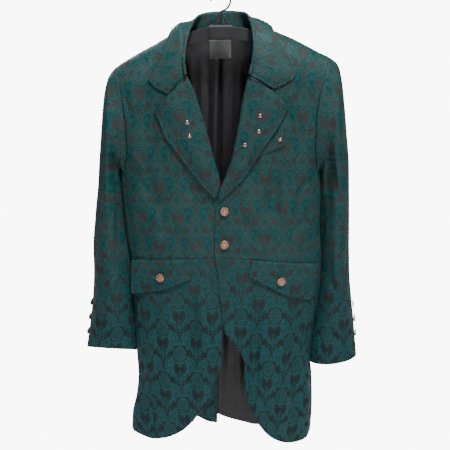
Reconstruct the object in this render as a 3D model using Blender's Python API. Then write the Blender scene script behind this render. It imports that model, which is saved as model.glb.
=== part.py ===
"""A brocade tailcoat jacket hanging on a hanger, metres, +Z up.

The origin is the inner top of the hanger's hook. The front faces -Y, and the wearer's left is +X.
Every panel is a stretch of one garment surface: a flattened tube whose width and depth change with
height, closed along the shoulder line over the hanger's arms. A panel is a grid between four border
curves, laid on that surface and given a wall. What is sewn on a panel is made from the same surface,
moved out.
"""
import math
from collections import namedtuple

import bmesh
import bpy
import numpy as np

MM = 0.001
WALL = 2.0 * MM
LINING_WALL = 1.0 * MM
LINING_GAP = 0.8 * MM
# Neighbouring panels stay this far apart at a seam.
GAP = 0.3 * MM
SEAM_HALF = GAP / 2
# What is laid on a panel stands this far off it.
CLOSE = 0.5 * MM

# How square the garment's level section is: 2 is an ellipse, more is flatter in front and behind.
WIDTH_POWER = 2.8
DEPTH_POWER = 2.3
# Height over which the front and back part from each other below the shoulder line.
SHOULDER_FALL = 75 * MM
UNDERARM_Z = -345 * MM
# The right front passes under the left one by this much at the centre.
UNDERLAP_DROP = WALL + 1.2 * MM

Section = namedtuple("Section", "z right left front back")
# Half sections of the flattened tube, in millimetres, a row for each height. Above the underarm the
# width is where front and back would meet if the sleeves went on outwards.
SECTIONS = [
    Section(-30, -270, 280, 34, 34),
    Section(-130, -270, 280, 50, 40),
    Section(-200, -256, 262, 56, 43),
    Section(-260, -236, 242, 57, 44),
    Section(-310, -217, 219, 56, 43),
    Section(-345, -209, 207, 55, 42),
    Section(-400, -207, 208.5, 54, 41),
    Section(-484, -203, 211.5, 52, 40),
    Section(-534, -195.5, 215, 51, 40),
    Section(-607, -193, 214.5, 51, 41),
    Section(-702, -192, 206, 52, 43),
    Section(-773, -190, 200, 54, 45),
    Section(-821, -189, 206, 56, 47),
    Section(-875, -196, 210, 57, 48),
    Section(-920, -207, 211, 58, 49),
    Section(-1000, -211, 208, 58, 50),
]

Place = namedtuple("Place", "x z")
Corner = namedtuple("Corner", "x z")
# The shoulder line, over the hanger's arms, in millimetres.
SHOULDER = [
    Place(-262, -240), Place(-240, -196), Place(-222, -158), Place(-205, -139), Place(-175, -121),
    Place(-144, -105), Place(-119, -91), Place(-75, -66), Place(-35, -50), Place(0, -44),
    Place(35, -48), Place(75, -60),
    Place(107, -73), Place(140, -86), Place(171, -101), Place(198, -114), Place(213, -121),
    Place(235, -134), Place(262, -156),
]

Fold = namedtuple("Fold", "top_x top_z end_x end_z width height")
# The largest folds: a ridge has a height above zero, a trough below, in millimetres.
FRONT_FOLDS = [
    Fold(-64, -350, -25, -455, 13, -5),
    Fold(68, -300, 70, -420, 16, -5),
    Fold(112, -290, 104, -470, 15, -5),
    Fold(-150, -170, -135, -330, 20, -5),
    Fold(165, -150, 150, -330, 20, -5),
    Fold(-150, -420, -120, -520, 22, 4),
    Fold(84, -600, 74, -850, 17, -7),
    Fold(135, -640, 140, -950, 24, 6),
    Fold(175, -600, 172, -940, 16, -6),
    Fold(-38, -600, -22, -800, 16, 7),
    Fold(-75, -640, -80, -900, 20, -7),
    Fold(-130, -650, -135, -940, 22, 6),
]
BACK_FOLDS = [
    Fold(-120, -200, -95, -480, 22, -6),
    Fold(120, -200, 92, -480, 22, -6),
    Fold(-75, -560, -95, -960, 22, 9),
    Fold(75, -560, 95, -960, 22, 9),
    Fold(-125, -580, -145, -960, 20, -8),
    Fold(125, -580, 145, -960, 20, -8),
    Fold(-32, -600, -42, -960, 16, -6),
    Fold(32, -600, 42, -960, 16, -6),
]

# Borders on the front, in millimetres: neck point, roll line and centre edge, top to waist.
RIGHT_EDGE = [
    Place(-75, -66), Place(-73, -105), Place(-66, -154), Place(-51, -188), Place(-40, -222),
    Place(-27, -270), Place(-15, -315), Place(-3, -363), Place(7, -397), Place(13, -440), Place(13, -528),
]
LEFT_EDGE = [
    Place(75, -60), Place(66, -108), Place(55, -154), Place(44, -203), Place(36, -251), Place(28, -295),
    Place(22, -322), Place(11, -352), Place(-1, -381), Place(-8, -405), Place(-12, -450), Place(-13, -528),
]
# The armhole seams, shoulder to underarm.
RIGHT_ARMHOLE = [
    Place(-205, -139), Place(-198, -165), Place(-191, -222), Place(-188, -262), Place(-190, -310),
    Place(-198, -345),
]
LEFT_ARMHOLE = [
    Place(213, -121), Place(205, -150), Place(193, -197), Place(188, -242), Place(190, -300),
    Place(196, -345),
]
# The side seams on the front, as x on the front, underarm to hem.
RIGHT_SIDE_SEAM = [
    Place(-198, -345), Place(-197, -400), Place(-191, -484), Place(-184, -534), Place(-181, -607),
    Place(-177, -702), Place(-169, -773), Place(-158, -875), Place(-153, -970),
]
LEFT_SIDE_SEAM = [
    Place(196, -345), Place(198, -400), Place(201, -484), Place(204, -540), Place(203, -607),
    Place(196, -702), Place(191, -773), Place(196, -875), Place(196, -984),
]
# The front edges of the skirts, waist to the corner where the hem begins, then the hem.
RIGHT_SKIRT_EDGE = [
    Place(13, -528), Place(10, -600), Place(4, -680), Place(0, -736), Place(0, -773), Place(-10, -806),
    Place(-16, -831), Place(-33, -871), Place(-57, -900),
]
RIGHT_SKIRT_HEM = [
    Place(-57, -900), Place(-71, -922), Place(-90, -942), Place(-120, -960), Place(-153, -970),
]
LEFT_SKIRT_EDGE = [
    Place(-13, -528), Place(-6, -569), Place(-1, -630), Place(7, -691), Place(22, -718), Place(43, -748),
    Place(52, -775), Place(51, -810), Place(56, -849), Place(69, -893),
]
LEFT_SKIRT_HEM = [
    Place(69, -893), Place(86, -926), Place(109, -956), Place(135, -974), Place(160, -982),
    Place(196, -984),
]
WAIST_RIGHT = [Place(13, -528), Place(-60, -528), Place(-184, -534)]
WAIST_LEFT = [Place(-13, -528), Place(70, -530), Place(204, -545)]

# Columns of points across each panel; of the back's, the first few run along the neck.
BODICE_COLUMNS = 12
SKIRT_COLUMNS = 11
SIDE_COLUMNS = 5
BACK_COLUMNS = 9
NECK_STEPS = 3
LINING_COLUMNS = 6
# The side body keeps this angle off its neighbours, in radians.
SIDE_INSET = 0.004
# The hem's height where the side meets the back.
SIDE_HEM_BACK_Z = -958 * MM
# The backs' hems, from the centre outwards: at the vent one hangs lower than the other.
BACK_HEM = {
    "right": [Place(-11, -987), Place(-36, -981), Place(-72, -962), Place(-120, -958)],
    "left": [Place(-10.77, -966), Place(18, -979), Place(52, -989), Place(87, -996), Place(130, -985)],
}
# How far round the side its back seam lies: 0 is at the side itself.
BACK_SEAM_ANGLE = math.radians(-30)
# Below this height the back's armhole curves in towards the side seam.
BACK_ARMHOLE_Z = -230 * MM
NECK_BACK_Z = -78 * MM
# Rows of the back below the waist, and columns from the centre, that the vent's facing covers.
FACING_FIRST_ROW = 15
FACING_COLUMNS = 4

# Lapels: the roll line is the front's edge, and this is the outer border, notch to bottom point.
LapelPoint = namedtuple("LapelPoint", "t x z")
RIGHT_LAPEL = [
    LapelPoint(0.0, -101, -192), LapelPoint(0.12, -128, -219), LapelPoint(0.38, -108, -273),
    LapelPoint(0.60, -80, -312), LapelPoint(0.85, -40, -366), LapelPoint(1.0, -13, -396),
]
LEFT_LAPEL = [
    LapelPoint(0.0, 101, -184), LapelPoint(0.12, 132, -211), LapelPoint(0.34, 113, -251),
    LapelPoint(0.56, 86, -291), LapelPoint(0.84, 45, -356), LapelPoint(1.0, -3, -403),
]
# Where the roll line ends at the bottom; the right one stops short of the left front's edge.
LAPEL_ROLL_END = {"right": Place(-9, -391), "left": Place(-4, -394)}
LAPEL_WALL = 2.2 * MM
LAPEL_PUFF = 3.5 * MM
# How far off the front a lapel's edge lies; the left one lies over the end of the welt.
LEFT_LAPEL_LIFT = 2.2 * MM
RIGHT_LAPEL_LIFT = 0.6 * MM

# The collar, a row for each station from the right front round the back to the left front: the fold
# that shows at the top, and the outer edge of the fall, in front of the shoulder line (-1) or behind.
CollarStation = namedtuple("CollarStation", "fold_x fold_y fold_z edge_x edge_z face")
COLLAR = [
    CollarStation(-66, -62, -151, -101, -190, -1),
    CollarStation(-69, -58, -136, -137, -163, -1),
    CollarStation(-68, -48, -112, -118, -117, -1),
    CollarStation(-61, -22, -74, -99, -89, -1),
    CollarStation(-50, 6, -50, -84, -80, 1),
    CollarStation(-34, 27, -39, -56, -98, 1),
    CollarStation(0, 38, -35, 0, -104, 1),
    CollarStation(36, 27, -36, 58, -92, 1),
    CollarStation(53, 6, -42, 86, -76, 1),
    CollarStation(60, -22, -62, 103, -82, -1),
    CollarStation(63, -46, -100, 127, -119, -1),
    CollarStation(60, -58, -134, 142, -157, -1),
    CollarStation(56, -63, -150, 102, -180, -1),
]
# The neckline that the collar's stand is sewn to, in the same order.
NeckPlace = namedtuple("NeckPlace", "x z face")
NECKLINE = [
    NeckPlace(-65, -154, -1), NeckPlace(-68, -134, -1), NeckPlace(-71, -108, -1), NeckPlace(-73, -82, -1),
    NeckPlace(-71.5, -67.5, 1), NeckPlace(-45, -74, 1), NeckPlace(0, -76.5, 1), NeckPlace(45, -72.5, 1),
    NeckPlace(71, -63, 1), NeckPlace(71, -76, -1), NeckPlace(65, -106, -1), NeckPlace(58.5, -134, -1),
    NeckPlace(54, -154, -1),
]
# A place by its signed distance below the shoulder line, above zero behind it.
Wrapped = namedtuple("Wrapped", "x below")
COLLAR_STATIONS = 25
FALL_STEPS = 3
COLLAR_ROLL = 2.3 * MM
# The fall stands off the cloth where it crosses the top of the shoulder.
RIDGE_LIFT = 4.5 * MM
RIDGE_REACH = 30 * MM
COLLAR_WALL = 2.2 * MM

# Sleeve rings in millimetres, armhole to cuff: the outer and inner ends of the ring as seen from
# the front, how far it reaches forwards and back, the crease in front beside the armhole, how far
# back the ring is set, and how much higher its front is.
Ring = namedtuple("Ring", "outer_x outer_z inner_x inner_z front back crease set_back lift",
                  defaults=(0,))
LEFT_SLEEVE = [
    Ring(232, -136, 207.5, -348, 51, 44, 0, 0),
    Ring(242, -167, 209, -351, 54, 48, 5, 0),
    Ring(250, -215, 209.3, -357, 56, 50, 10, 1),
    Ring(258, -268, 209.6, -368, 57, 52, 13, 3),
    Ring(266, -325, 210, -388, 57, 53, 13, 5),
    Ring(271, -385, 211, -420, 56, 52, 8, 7),
    Ring(275, -445, 213, -462, 54, 51, 3, 8),
    Ring(278, -510, 216, -518, 51, 48, 0, 8),
    Ring(283, -575, 217.3, -580, 47, 44, 0, 8),
    Ring(290, -632, 216, -636, 42, 39, 0, 7),
    Ring(298, -684, 210, -690, 37, 34, 0, 6),
    Ring(304, -732, 205, -744, 33, 30, 0, 5),
    Ring(311, -778, 206, -796, 31, 28, 0, 5),
]
RIGHT_SLEEVE = [
    Ring(-222, -157, -209.5, -348, 51, 44, 0, 0),
    Ring(-232, -186, -211, -351, 54, 48, 7, 0),
    Ring(-239, -228, -211, -357, 56, 50, 13, 2),
    Ring(-246, -278, -211, -368, 57, 52, 15, 5),
    Ring(-253, -332, -210.4, -388, 57, 53, 12, 8),
    Ring(-259, -390, -208.8, -420, 56, 52, 7, 10),
    Ring(-268, -450, -207, -462, 54, 51, 2, 11),
    Ring(-277, -510, -200, -518, 51, 48, 0, 11),
    Ring(-281, -575, -196.5, -580, 47, 44, 0, 10),
    Ring(-286, -628, -195.5, -632, 42, 39, 0, 8),
    Ring(-293, -676, -195, -680, 37, 34, 0, 7),
    Ring(-301, -722, -194, -726, 33, 30, 0, 6, 7),
    Ring(-308, -760, -193.5, -768, 31, 28, 0, 6, 15),
]
# Points along half a sleeve's ring: those of the armhole seam, then those under the arm.
ARMHOLE_STEPS = 8
UNDERARM_STEPS = 2
# Where the sleeve's crease beside the armhole runs, and its width, as shares of the sleeve's width.
CREASE_PLACE = 0.78
CREASE_WIDTH = 0.12
# Rows of the panels below the underarm, down to the waist and from there to the hem.
CHEST_STEPS = 6
SKIRT_STEPS = 9
SLEEVE_HALF_POINTS = ARMHOLE_STEPS + UNDERARM_STEPS
SLEEVE_POWER = 0.62

# Flaps and welt: top inner, top outer, bottom outer, bottom inner.
FLAP_RIGHT = [Corner(-65, -530), Corner(-190, -538), Corner(-195, -616), Corner(-61, -571)]
FLAP_LEFT = [Corner(66, -531), Corner(204, -548), Corner(196, -630), Corner(56, -565)]
FLAP_POINT_DROP = 6 * MM
# Share of the half width past which a flap runs straight on instead of turning with the side.
FLAP_STRAIGHT = 0.84
WELT = [Corner(62, -291), Corner(124, -264), Corner(127, -289), Corner(66, -316)]
FLAP_WALL = 2.4 * MM
WELT_WALL = 1.2 * MM

BUTTON_RADIUS = 9.5 * MM
CUFF_BUTTON_RADIUS = 7.5 * MM
BUTTON_HEIGHT = 3.4 * MM
FRONT_BUTTONS = [Place(7.5, -423), Place(7.5, -495)]
FLAP_BUTTONS = {"right": Place(-128, -571), "left": Place(127, -578)}
CUFF_BUTTON_Z = (-652 * MM, -687 * MM, -722 * MM)
# Point of the sleeve's ring that a cuff button stands beside: in front of the outer edge, or behind it.
CUFF_BUTTON_POINT = {"right": -1, "left": 1}
RIVET_RADIUS = 4.0 * MM
RIVET_HEIGHT = 2.0 * MM
RIVETS = {
    "lapel_right": [Place(-65, -243), Place(-61, -269)],
    "lapel_left": [Place(76, -230), Place(74, -260), Place(47, -286)],
}
WELT_RIVET = Place(117, -277)

LABEL_WIDTH = 44 * MM
LABEL_HEIGHT = 37 * MM
LABEL_X = -1 * MM
LABEL_TOP_Z = -88 * MM
LABEL_GAP = 0.8 * MM

HANGER_ARM_HEIGHT = 24 * MM
HANGER_ARM_HALF = 4.5 * MM
HANGER_REACH = 196 * MM
HANGER_STATIONS = 23
# From here outwards the arms touch the shoulders; inside it they run straight to the block.
HANGER_FREE = 112 * MM
HANGER_CLEAR = 0.7 * MM
BLOCK_WIDTH = 44 * MM
BLOCK_HEIGHT = 22 * MM
BLOCK_TOP_Z = -62 * MM
BLOCK_HALF_DEPTH = 11 * MM
BLOCK_CHAMFER = 4 * MM
BLOCK_SKIRT = 5 * MM
# Thickness of the block over the arms.
BLOCK_ROOF = 1.5 * MM
HOOK_INNER_RADIUS = 17 * MM
HOOK_WIRE_RADIUS = 2.0 * MM
STRUT_RADIUS = 1.6 * MM
STRUT_FOOT = 15 * MM
STRUT_RISE = 19 * MM


def interpolate(rows, column, at):
    """Reads a table's column at a height, with a smooth curve through the rows."""
    heights = [row.z * MM for row in rows]
    values = [getattr(row, column) * MM for row in rows]
    if at >= heights[0]:
        return values[0]
    if at <= heights[-1]:
        return values[-1]
    for i in range(len(rows) - 1):
        if at >= heights[i + 1]:
            break
    share = (heights[i] - at) / (heights[i] - heights[i + 1])
    before = values[max(i - 1, 0)]
    after = values[min(i + 2, len(values) - 1)]
    return hermite(before, values[i], values[i + 1], after, share)


def hermite(before, start, end, after, share):
    """A smooth curve between two values, with the slopes that their neighbours give."""
    slope_start = (end - before) / 2
    slope_end = (after - start) / 2
    s2 = share * share
    s3 = s2 * share
    blend = (2 * s3 - 3 * s2 + 1) * start + (s3 - 2 * s2 + share) * slope_start
    return blend + (3 * s2 - 2 * s3) * end + (s3 - s2) * slope_end


def shoulder_height(x):
    """Height of the shoulder line over a place across the garment."""
    xs = [place.x * MM for place in SHOULDER]
    zs = [place.z * MM for place in SHOULDER]
    if x <= xs[0]:
        return zs[0]
    if x >= xs[-1]:
        return zs[-1]
    for i in range(len(xs) - 1):
        if x <= xs[i + 1]:
            break
    share = (x - xs[i]) / (xs[i + 1] - xs[i])
    return hermite(zs[max(i - 1, 0)], zs[i], zs[i + 1], zs[min(i + 2, len(zs) - 1)], share)


def shoulder_closing(x, z):
    """Share of the full depth that is left near the shoulder line: 0 on it, 1 well below."""
    u = (shoulder_height(x) - z) / SHOULDER_FALL
    u = min(max(u, 0.0), 1.0)
    return math.sqrt(max(0.0, 1.0 - (1.0 - u) ** 2))


def fold_offset(folds, x, z):
    """How far the folds push the cloth out at a place: soft ridges and troughs that fade at their ends."""
    total = 0.0
    for fold in folds:
        top = np.array([fold.top_x, fold.top_z]) * MM
        run = np.array([fold.end_x, fold.end_z]) * MM - top
        length = float(np.hypot(*run))
        way = run / length
        offset = np.array([x, z]) - top
        down = float(offset @ way) / length
        aside = float(offset[0] * way[1] - offset[1] * way[0])
        fade = math.exp(-((down - 0.5) / 0.42) ** 4)
        total += fold.height * MM * fade * math.exp(-(aside / (fold.width * MM)) ** 2)
    return total


def half_widths(z):
    """Centre and half width of the level section at a height."""
    right = interpolate(SECTIONS, "right", z)
    left = interpolate(SECTIONS, "left", z)
    return (right + left) / 2, (left - right) / 2


def side_fade(across):
    """Folds fade out before the side, where the cloth turns back."""
    return 1.0 - min(max((across - 0.86) / 0.12, 0.0), 1.0)


def face_point(x, z, back=False):
    """Point of the garment's surface over (x, z), on the front or on the back."""
    centre, half = half_widths(z)
    across = min(abs(x - centre) / half, 0.9995)
    depth = interpolate(SECTIONS, "back" if back else "front", z)
    bulge = (1.0 - across ** WIDTH_POWER) ** (1 / DEPTH_POWER)
    folds = BACK_FOLDS if back else FRONT_FOLDS
    out = depth * bulge * shoulder_closing(x, z) + fold_offset(folds, x, z) * side_fade(across)
    return np.array([x, out if back else -out, z])


def turn_point(angle, z):
    """Point of the same surface by its angle round the side: 0 at the side, above 0 in front."""
    side = 1.0 if abs(angle) < math.pi / 2 else -1.0
    centre, half = half_widths(z)
    x = centre + side * half * abs(math.cos(angle)) ** (2 / WIDTH_POWER)
    back = math.sin(angle) < 0
    depth = interpolate(SECTIONS, "back" if back else "front", z)
    across = abs(x - centre) / half
    folds = BACK_FOLDS if back else FRONT_FOLDS
    out = depth * abs(math.sin(angle)) ** (2 / DEPTH_POWER) * shoulder_closing(x, z)
    out += fold_offset(folds, x, z) * side_fade(across)
    return np.array([x, out if back else -out, z])


def angle_of(x, z):
    """Angle round the side of a place on the front, as turn_point takes it."""
    centre, half = half_widths(z)
    across = min(abs(x - centre) / half, 1.0) ** (WIDTH_POWER / 2)
    angle = math.acos(across)
    return angle if x > centre else math.pi - angle


def normal_of(function, first, second, outward):
    """Unit normal of a two-way surface function, turned to the side that outward gives."""
    step = 0.6 * MM if abs(first) < 1 else 0.01
    along_first = function(first + step, second) - function(first - step, second)
    along_second = function(first, second + 0.6 * MM) - function(first, second - 0.6 * MM)
    normal = np.cross(along_first, along_second)
    normal = normal / np.linalg.norm(normal)
    return normal if normal @ outward > 0 else -normal


def lengths_of(points):
    """Running length along a list of points, from 0 to 1."""
    steps = np.linalg.norm(np.diff(points, axis=0), axis=1)
    run = np.concatenate([[0.0], np.cumsum(steps)])
    return run / run[-1]


def curve_through(places):
    """Function of 0 to 1 that runs smoothly through (x, z) places given in millimetres."""
    points = np.array([[place.x, place.z] for place in places]) * MM
    run = lengths_of(points)

    def at(share):
        share = min(max(share, 0.0), 1.0)
        i = min(int(np.searchsorted(run, share, side="right")) - 1, len(points) - 2)
        inside = (share - run[i]) / (run[i + 1] - run[i])
        before = points[max(i - 1, 0)]
        after = points[min(i + 2, len(points) - 1)]
        return hermite(before, points[i], points[i + 1], after, inside)

    return at


def patch(top, bottom, inner, outer):
    """Grid of flat places between four borders, each a list of places with shared corners."""
    down = len(inner)
    across = len(top)
    shares_down = lengths_of(np.array(outer))
    shares_across = lengths_of(np.array(top))
    grid = np.zeros((down, across, 2))
    for row, v in enumerate(shares_down):
        for column, u in enumerate(shares_across):
            level = (1 - v) * top[column] + v * bottom[column]
            upright = (1 - u) * inner[row] + u * outer[row]
            corners = (1 - u) * (1 - v) * top[0] + u * (1 - v) * top[-1]
            corners = corners + (1 - u) * v * bottom[0] + u * v * bottom[-1]
            grid[row, column] = level + upright - corners
    return grid


def sampled(curve, shares):
    """Places of a border curve at given shares of its length."""
    return [curve(share) for share in shares]


def armhole_heights(side):
    """Heights of the points along the armhole seam, closer together over the shoulder."""
    armhole = LEFT_ARMHOLE if side == "left" else RIGHT_ARMHOLE
    top = armhole[0].z * MM
    return [top + (UNDERARM_Z - top) * (i / ARMHOLE_STEPS) ** 1.45 for i in range(ARMHOLE_STEPS + 1)]


def chest_heights(side):
    """Heights of the rows from the underarm to the waist, along the side seam."""
    waist = (WAIST_LEFT if side == "left" else WAIST_RIGHT)[-1].z * MM
    return [UNDERARM_Z + (waist - UNDERARM_Z) * i / CHEST_STEPS for i in range(CHEST_STEPS + 1)]


def skirt_heights(side):
    """Heights of the rows from the waist to the hem, along the side seam."""
    waist = (WAIST_LEFT if side == "left" else WAIST_RIGHT)[-1].z * MM
    hem = (LEFT_SIDE_SEAM if side == "left" else RIGHT_SIDE_SEAM)[-1].z * MM
    return [waist + (hem - waist) * i / SKIRT_STEPS for i in range(SKIRT_STEPS + 1)]


def armhole_place(side, z, back=False):
    """Place of the armhole seam at a height; behind, it curves in to the back side seam."""
    armhole = LEFT_ARMHOLE if side == "left" else RIGHT_ARMHOLE
    x = interpolate(armhole, "x", z)
    if back:
        share = min(max((BACK_ARMHOLE_Z - z) / (BACK_ARMHOLE_Z - UNDERARM_Z), 0.0), 1.0)
        x += (back_seam_place(side, UNDERARM_Z)[0] - armhole[-1].x * MM) * share ** 2
    return np.array([x, min(z, shoulder_height(x))])


def seam_place(side, z):
    """Place of the front side seam at a height."""
    seam = LEFT_SIDE_SEAM if side == "left" else RIGHT_SIDE_SEAM
    return np.array([interpolate(seam, "x", z), z])


def material(name, colour, roughness, metallic=0.0):
    """Plain Principled material with the colour, roughness and metallic value of the real piece."""
    made = bpy.data.materials.new(name)
    made.use_nodes = True
    shader = made.node_tree.nodes["Principled BSDF"]
    shader.inputs["Base Color"].default_value = (*colour, 1.0)
    shader.inputs["Roughness"].default_value = roughness
    shader.inputs["Metallic"].default_value = metallic
    return made


def add_object(name, bm, finish):
    """Links a closed mesh as a named object, with its faces turned outwards."""
    bmesh.ops.remove_doubles(bm, verts=bm.verts, dist=1e-6)
    bmesh.ops.recalc_face_normals(bm, faces=bm.faces)
    if bm.calc_volume(signed=True) < 0:
        bmesh.ops.reverse_faces(bm, faces=bm.faces)
    mesh = bpy.data.meshes.new(name)
    bm.to_mesh(mesh)
    bm.free()
    mesh.shade_smooth()
    mesh.set_sharp_from_angle(angle=math.radians(40))
    made = bpy.data.objects.new(name, mesh)
    made.data.materials.append(finish)
    bpy.context.scene.collection.objects.link(made)
    return made


def grid_faces(bm, sheet, closed=False):
    """Faces over a grid of vertices; a closed grid also joins its last column to its first."""
    rows = len(sheet)
    columns = len(sheet[0])
    last = columns if closed else columns - 1
    for r in range(rows - 1):
        for c in range(last):
            d = (c + 1) % columns
            bm.faces.new((sheet[r][c], sheet[r][d], sheet[r + 1][d], sheet[r + 1][c]))


def border_of(sheet):
    """Vertices round the edge of a grid, in order."""
    top = list(sheet[0])
    right = [row[-1] for row in sheet[1:]]
    bottom = list(reversed(sheet[-1]))[1:]
    left = [row[0] for row in reversed(sheet[1:-1])]
    return top + right + bottom + left


def wall_between(name, outer, inner, finish):
    """Closed wall between two grids of points of the same size."""
    bm = bmesh.new()
    outside = [[bm.verts.new(p) for p in row] for row in outer]
    inside = [[bm.verts.new(p) for p in row] for row in inner]
    grid_faces(bm, outside)
    grid_faces(bm, inside)
    rim_out = border_of(outside)
    rim_in = border_of(inside)
    for i in range(len(rim_out)):
        j = (i + 1) % len(rim_out)
        bm.faces.new((rim_out[i], rim_out[j], rim_in[j], rim_in[i]))
    bmesh.ops.triangulate(bm, faces=bm.faces)
    return add_object(name, bm, finish)


def outward_hint(x, back):
    """Rough outward direction of the front or back, used only to choose a normal's side."""
    return np.array([x * 0.5, 1.0 if back else -1.0, 0.15])


def front_frame(x, z, back=False):
    """Point and unit normal of the front or back surface."""
    point = face_point(x, z, back)
    normal = normal_of(lambda a, b: face_point(a, b, back), x, z, outward_hint(x, back))
    if shoulder_height(x) - z < 0.5 * MM:
        normal = np.array([normal[0], 0.0, abs(normal[2])])
        normal = normal / np.linalg.norm(normal)
    return point, normal


def on_face(grid, lift, thickness, back=False):
    """Outer and inner points of a wall on the front or back: lift is where its underside lies."""
    rows, columns = grid.shape[:2]
    outer = np.zeros((rows, columns, 3))
    inner = np.zeros((rows, columns, 3))
    for r in range(rows):
        for c in range(columns):
            x, z = grid[r, c]
            point, normal = front_frame(x, z, back)
            under = lift(c / (columns - 1), r / (rows - 1), x, z) if callable(lift) else lift
            outer[r, c] = point + normal * (under + thickness)
            inner[r, c] = point + normal * under
    return outer, inner


def shrink(grid, amount):
    """Moves the border of a flat grid inwards, so that neighbouring panels stay apart at the seam."""
    moved = grid.copy()
    rows, columns = grid.shape[:2]
    for r in range(rows):
        for c in range(columns):
            push = np.zeros(2)
            if r == 0:
                push += unit(grid[1, c] - grid[0, c])
            if r == rows - 1:
                push += unit(grid[-2, c] - grid[-1, c])
            if c == 0:
                push += unit(grid[r, 1] - grid[r, 0])
            if c == columns - 1:
                push += unit(grid[r, -2] - grid[r, -1])
            moved[r, c] += push * amount
    return moved


def unit(vector):
    """The vector at length 1."""
    return vector / max(float(np.linalg.norm(vector)), 1e-9)


def under_left(u, v, x, z):
    """Drop of the right front where the left one lies over it."""
    share = min(max((x + 45 * MM) / (30 * MM), 0.0), 1.0)
    return -WALL - UNDERLAP_DROP * share * share * (3 - 2 * share)


def shoulder_run(start_x, end_x, count):
    """Places of the shoulder line between two places across."""
    xs = [start_x + (end_x - start_x) * i / (count - 1) for i in range(count)]
    return [np.array([x, shoulder_height(x)]) for x in xs]


def build_fronts(cloth):
    """Bodice fronts and skirts, right and left."""
    rows = {
        "right": (RIGHT_EDGE, RIGHT_SKIRT_EDGE, RIGHT_SKIRT_HEM, WAIST_RIGHT),
        "left": (LEFT_EDGE, LEFT_SKIRT_EDGE, LEFT_SKIRT_HEM, WAIST_LEFT),
    }
    for side, (edge, skirt_edge, hem, waist) in rows.items():
        lift = under_left if side == "right" else -WALL
        outer = [armhole_place(side, z) for z in armhole_heights(side)]
        outer = outer + [seam_place(side, z) for z in chest_heights(side)[1:]]
        top = shoulder_run(edge[0].x * MM, outer[0][0], BODICE_COLUMNS)
        bottom = sampled(curve_through(waist), np.linspace(0, 1, BODICE_COLUMNS))
        inner = sampled(curve_through(edge), lengths_of(np.array(outer)))
        grid = patch(top, bottom, inner, outer)
        wall_between(f"bodice_front_{side}", *on_face(shrink(grid, SEAM_HALF), lift, WALL), cloth)
        outer = [seam_place(side, z) for z in skirt_heights(side)]
        top = sampled(curve_through(waist), np.linspace(0, 1, SKIRT_COLUMNS))
        bottom = sampled(curve_through(hem), np.linspace(0, 1, SKIRT_COLUMNS))
        inner = sampled(curve_through(skirt_edge), lengths_of(np.array(outer)))
        grid = patch(top, bottom, inner, outer)
        wall_between(f"skirt_front_{side}", *on_face(shrink(grid, SEAM_HALF), lift, WALL), cloth)


def side_rows(side):
    """Heights of the side body's rows on its front seam and on its back seam."""
    front = chest_heights(side) + skirt_heights(side)[1:]
    last = len(front) - 1
    drop = SIDE_HEM_BACK_Z - front[-1]
    back = [z + drop * (i / last) ** 4 for i, z in enumerate(front)]
    return front, back


def build_sides(cloth):
    """Side bodies, from the front side seam round to the back one."""
    for side in ("right", "left"):
        sign = 1 if side == "left" else -1
        front, back = side_rows(side)
        end = BACK_SEAM_ANGLE if side == "left" else math.pi - BACK_SEAM_ANGLE
        outer = np.zeros((len(front), SIDE_COLUMNS, 3))
        inner = np.zeros((len(front), SIDE_COLUMNS, 3))
        for r in range(len(front)):
            start = angle_of(*seam_place(side, front[r]))
            for c in range(SIDE_COLUMNS):
                u = c / (SIDE_COLUMNS - 1)
                inset = -sign * SIDE_INSET * (1 - 2 * u)
                angle = start + (end - start) * u + inset
                height = front[r] + (back[r] - front[r]) * u - (SEAM_HALF if r == 0 else 0.0)
                point = turn_point(angle, height)
                outward = np.array([sign, -math.sin(angle), 0.0])
                normal = normal_of(turn_point, angle, height, outward)
                outer[r, c] = point
                inner[r, c] = point - normal * WALL
        wall_between(f"side_{side}", outer, inner, cloth)


def back_seam_place(side, z):
    """Place of the back side seam at a height."""
    angle = BACK_SEAM_ANGLE if side == "left" else math.pi - BACK_SEAM_ANGLE
    return np.array([turn_point(angle, z)[0], z])


def back_grid(side):
    """Flat places of a back panel: centre seam, neck, shoulder, armhole, side seam and hem."""
    sign = 1 if side == "left" else -1
    neck = LEFT_EDGE[0] if side == "left" else RIGHT_EDGE[0]
    outer = [armhole_place(side, z, True) for z in armhole_heights(side)]
    outer = outer + [back_seam_place(side, z) for z in side_rows(side)[1][1:]]
    neck_x = neck.x * MM
    neck_z = shoulder_height(neck_x)
    top = []
    for i in range(NECK_STEPS):
        turn = i / NECK_STEPS * math.pi / 2
        top.append(np.array([neck_x * math.sin(turn), neck_z + (NECK_BACK_Z - neck_z) * math.cos(turn)]))
    top = top + shoulder_run(neck_x, outer[0][0], BACK_COLUMNS - NECK_STEPS)
    hem = BACK_HEM[side] + [Place(*(outer[-1] / MM))]
    bottom = sampled(curve_through(hem), lengths_of(np.array(top)))
    inner = sampled(curve_through([Place(0, NECK_BACK_Z / MM), hem[0]]), lengths_of(np.array(outer)))
    return patch(top, bottom, inner, outer)


def build_backs(cloth, lining):
    """Back panels, the lining that lies against them, and the turned-in edge of the vent."""
    for side in ("right", "left"):
        grid = shrink(back_grid(side), SEAM_HALF)
        wall_between(f"back_{side}", *on_face(grid, -WALL, WALL, back=True), cloth)
        lined = grid[1:, :LINING_COLUMNS].copy()
        lined[-1] = lined[-1] * 0.72 + lined[-2] * 0.28
        under = -WALL - LINING_GAP - LINING_WALL
        wall_between(f"back_lining_{side}", *on_face(lined, under, LINING_WALL, back=True), lining)
    turned_in = shrink(back_grid("right"), SEAM_HALF)[FACING_FIRST_ROW:, :FACING_COLUMNS]
    under = -WALL - LINING_GAP - LINING_WALL - CLOSE - WALL
    wall_between("vent_facing", *on_face(turned_in, under, WALL, back=True), cloth)


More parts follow.
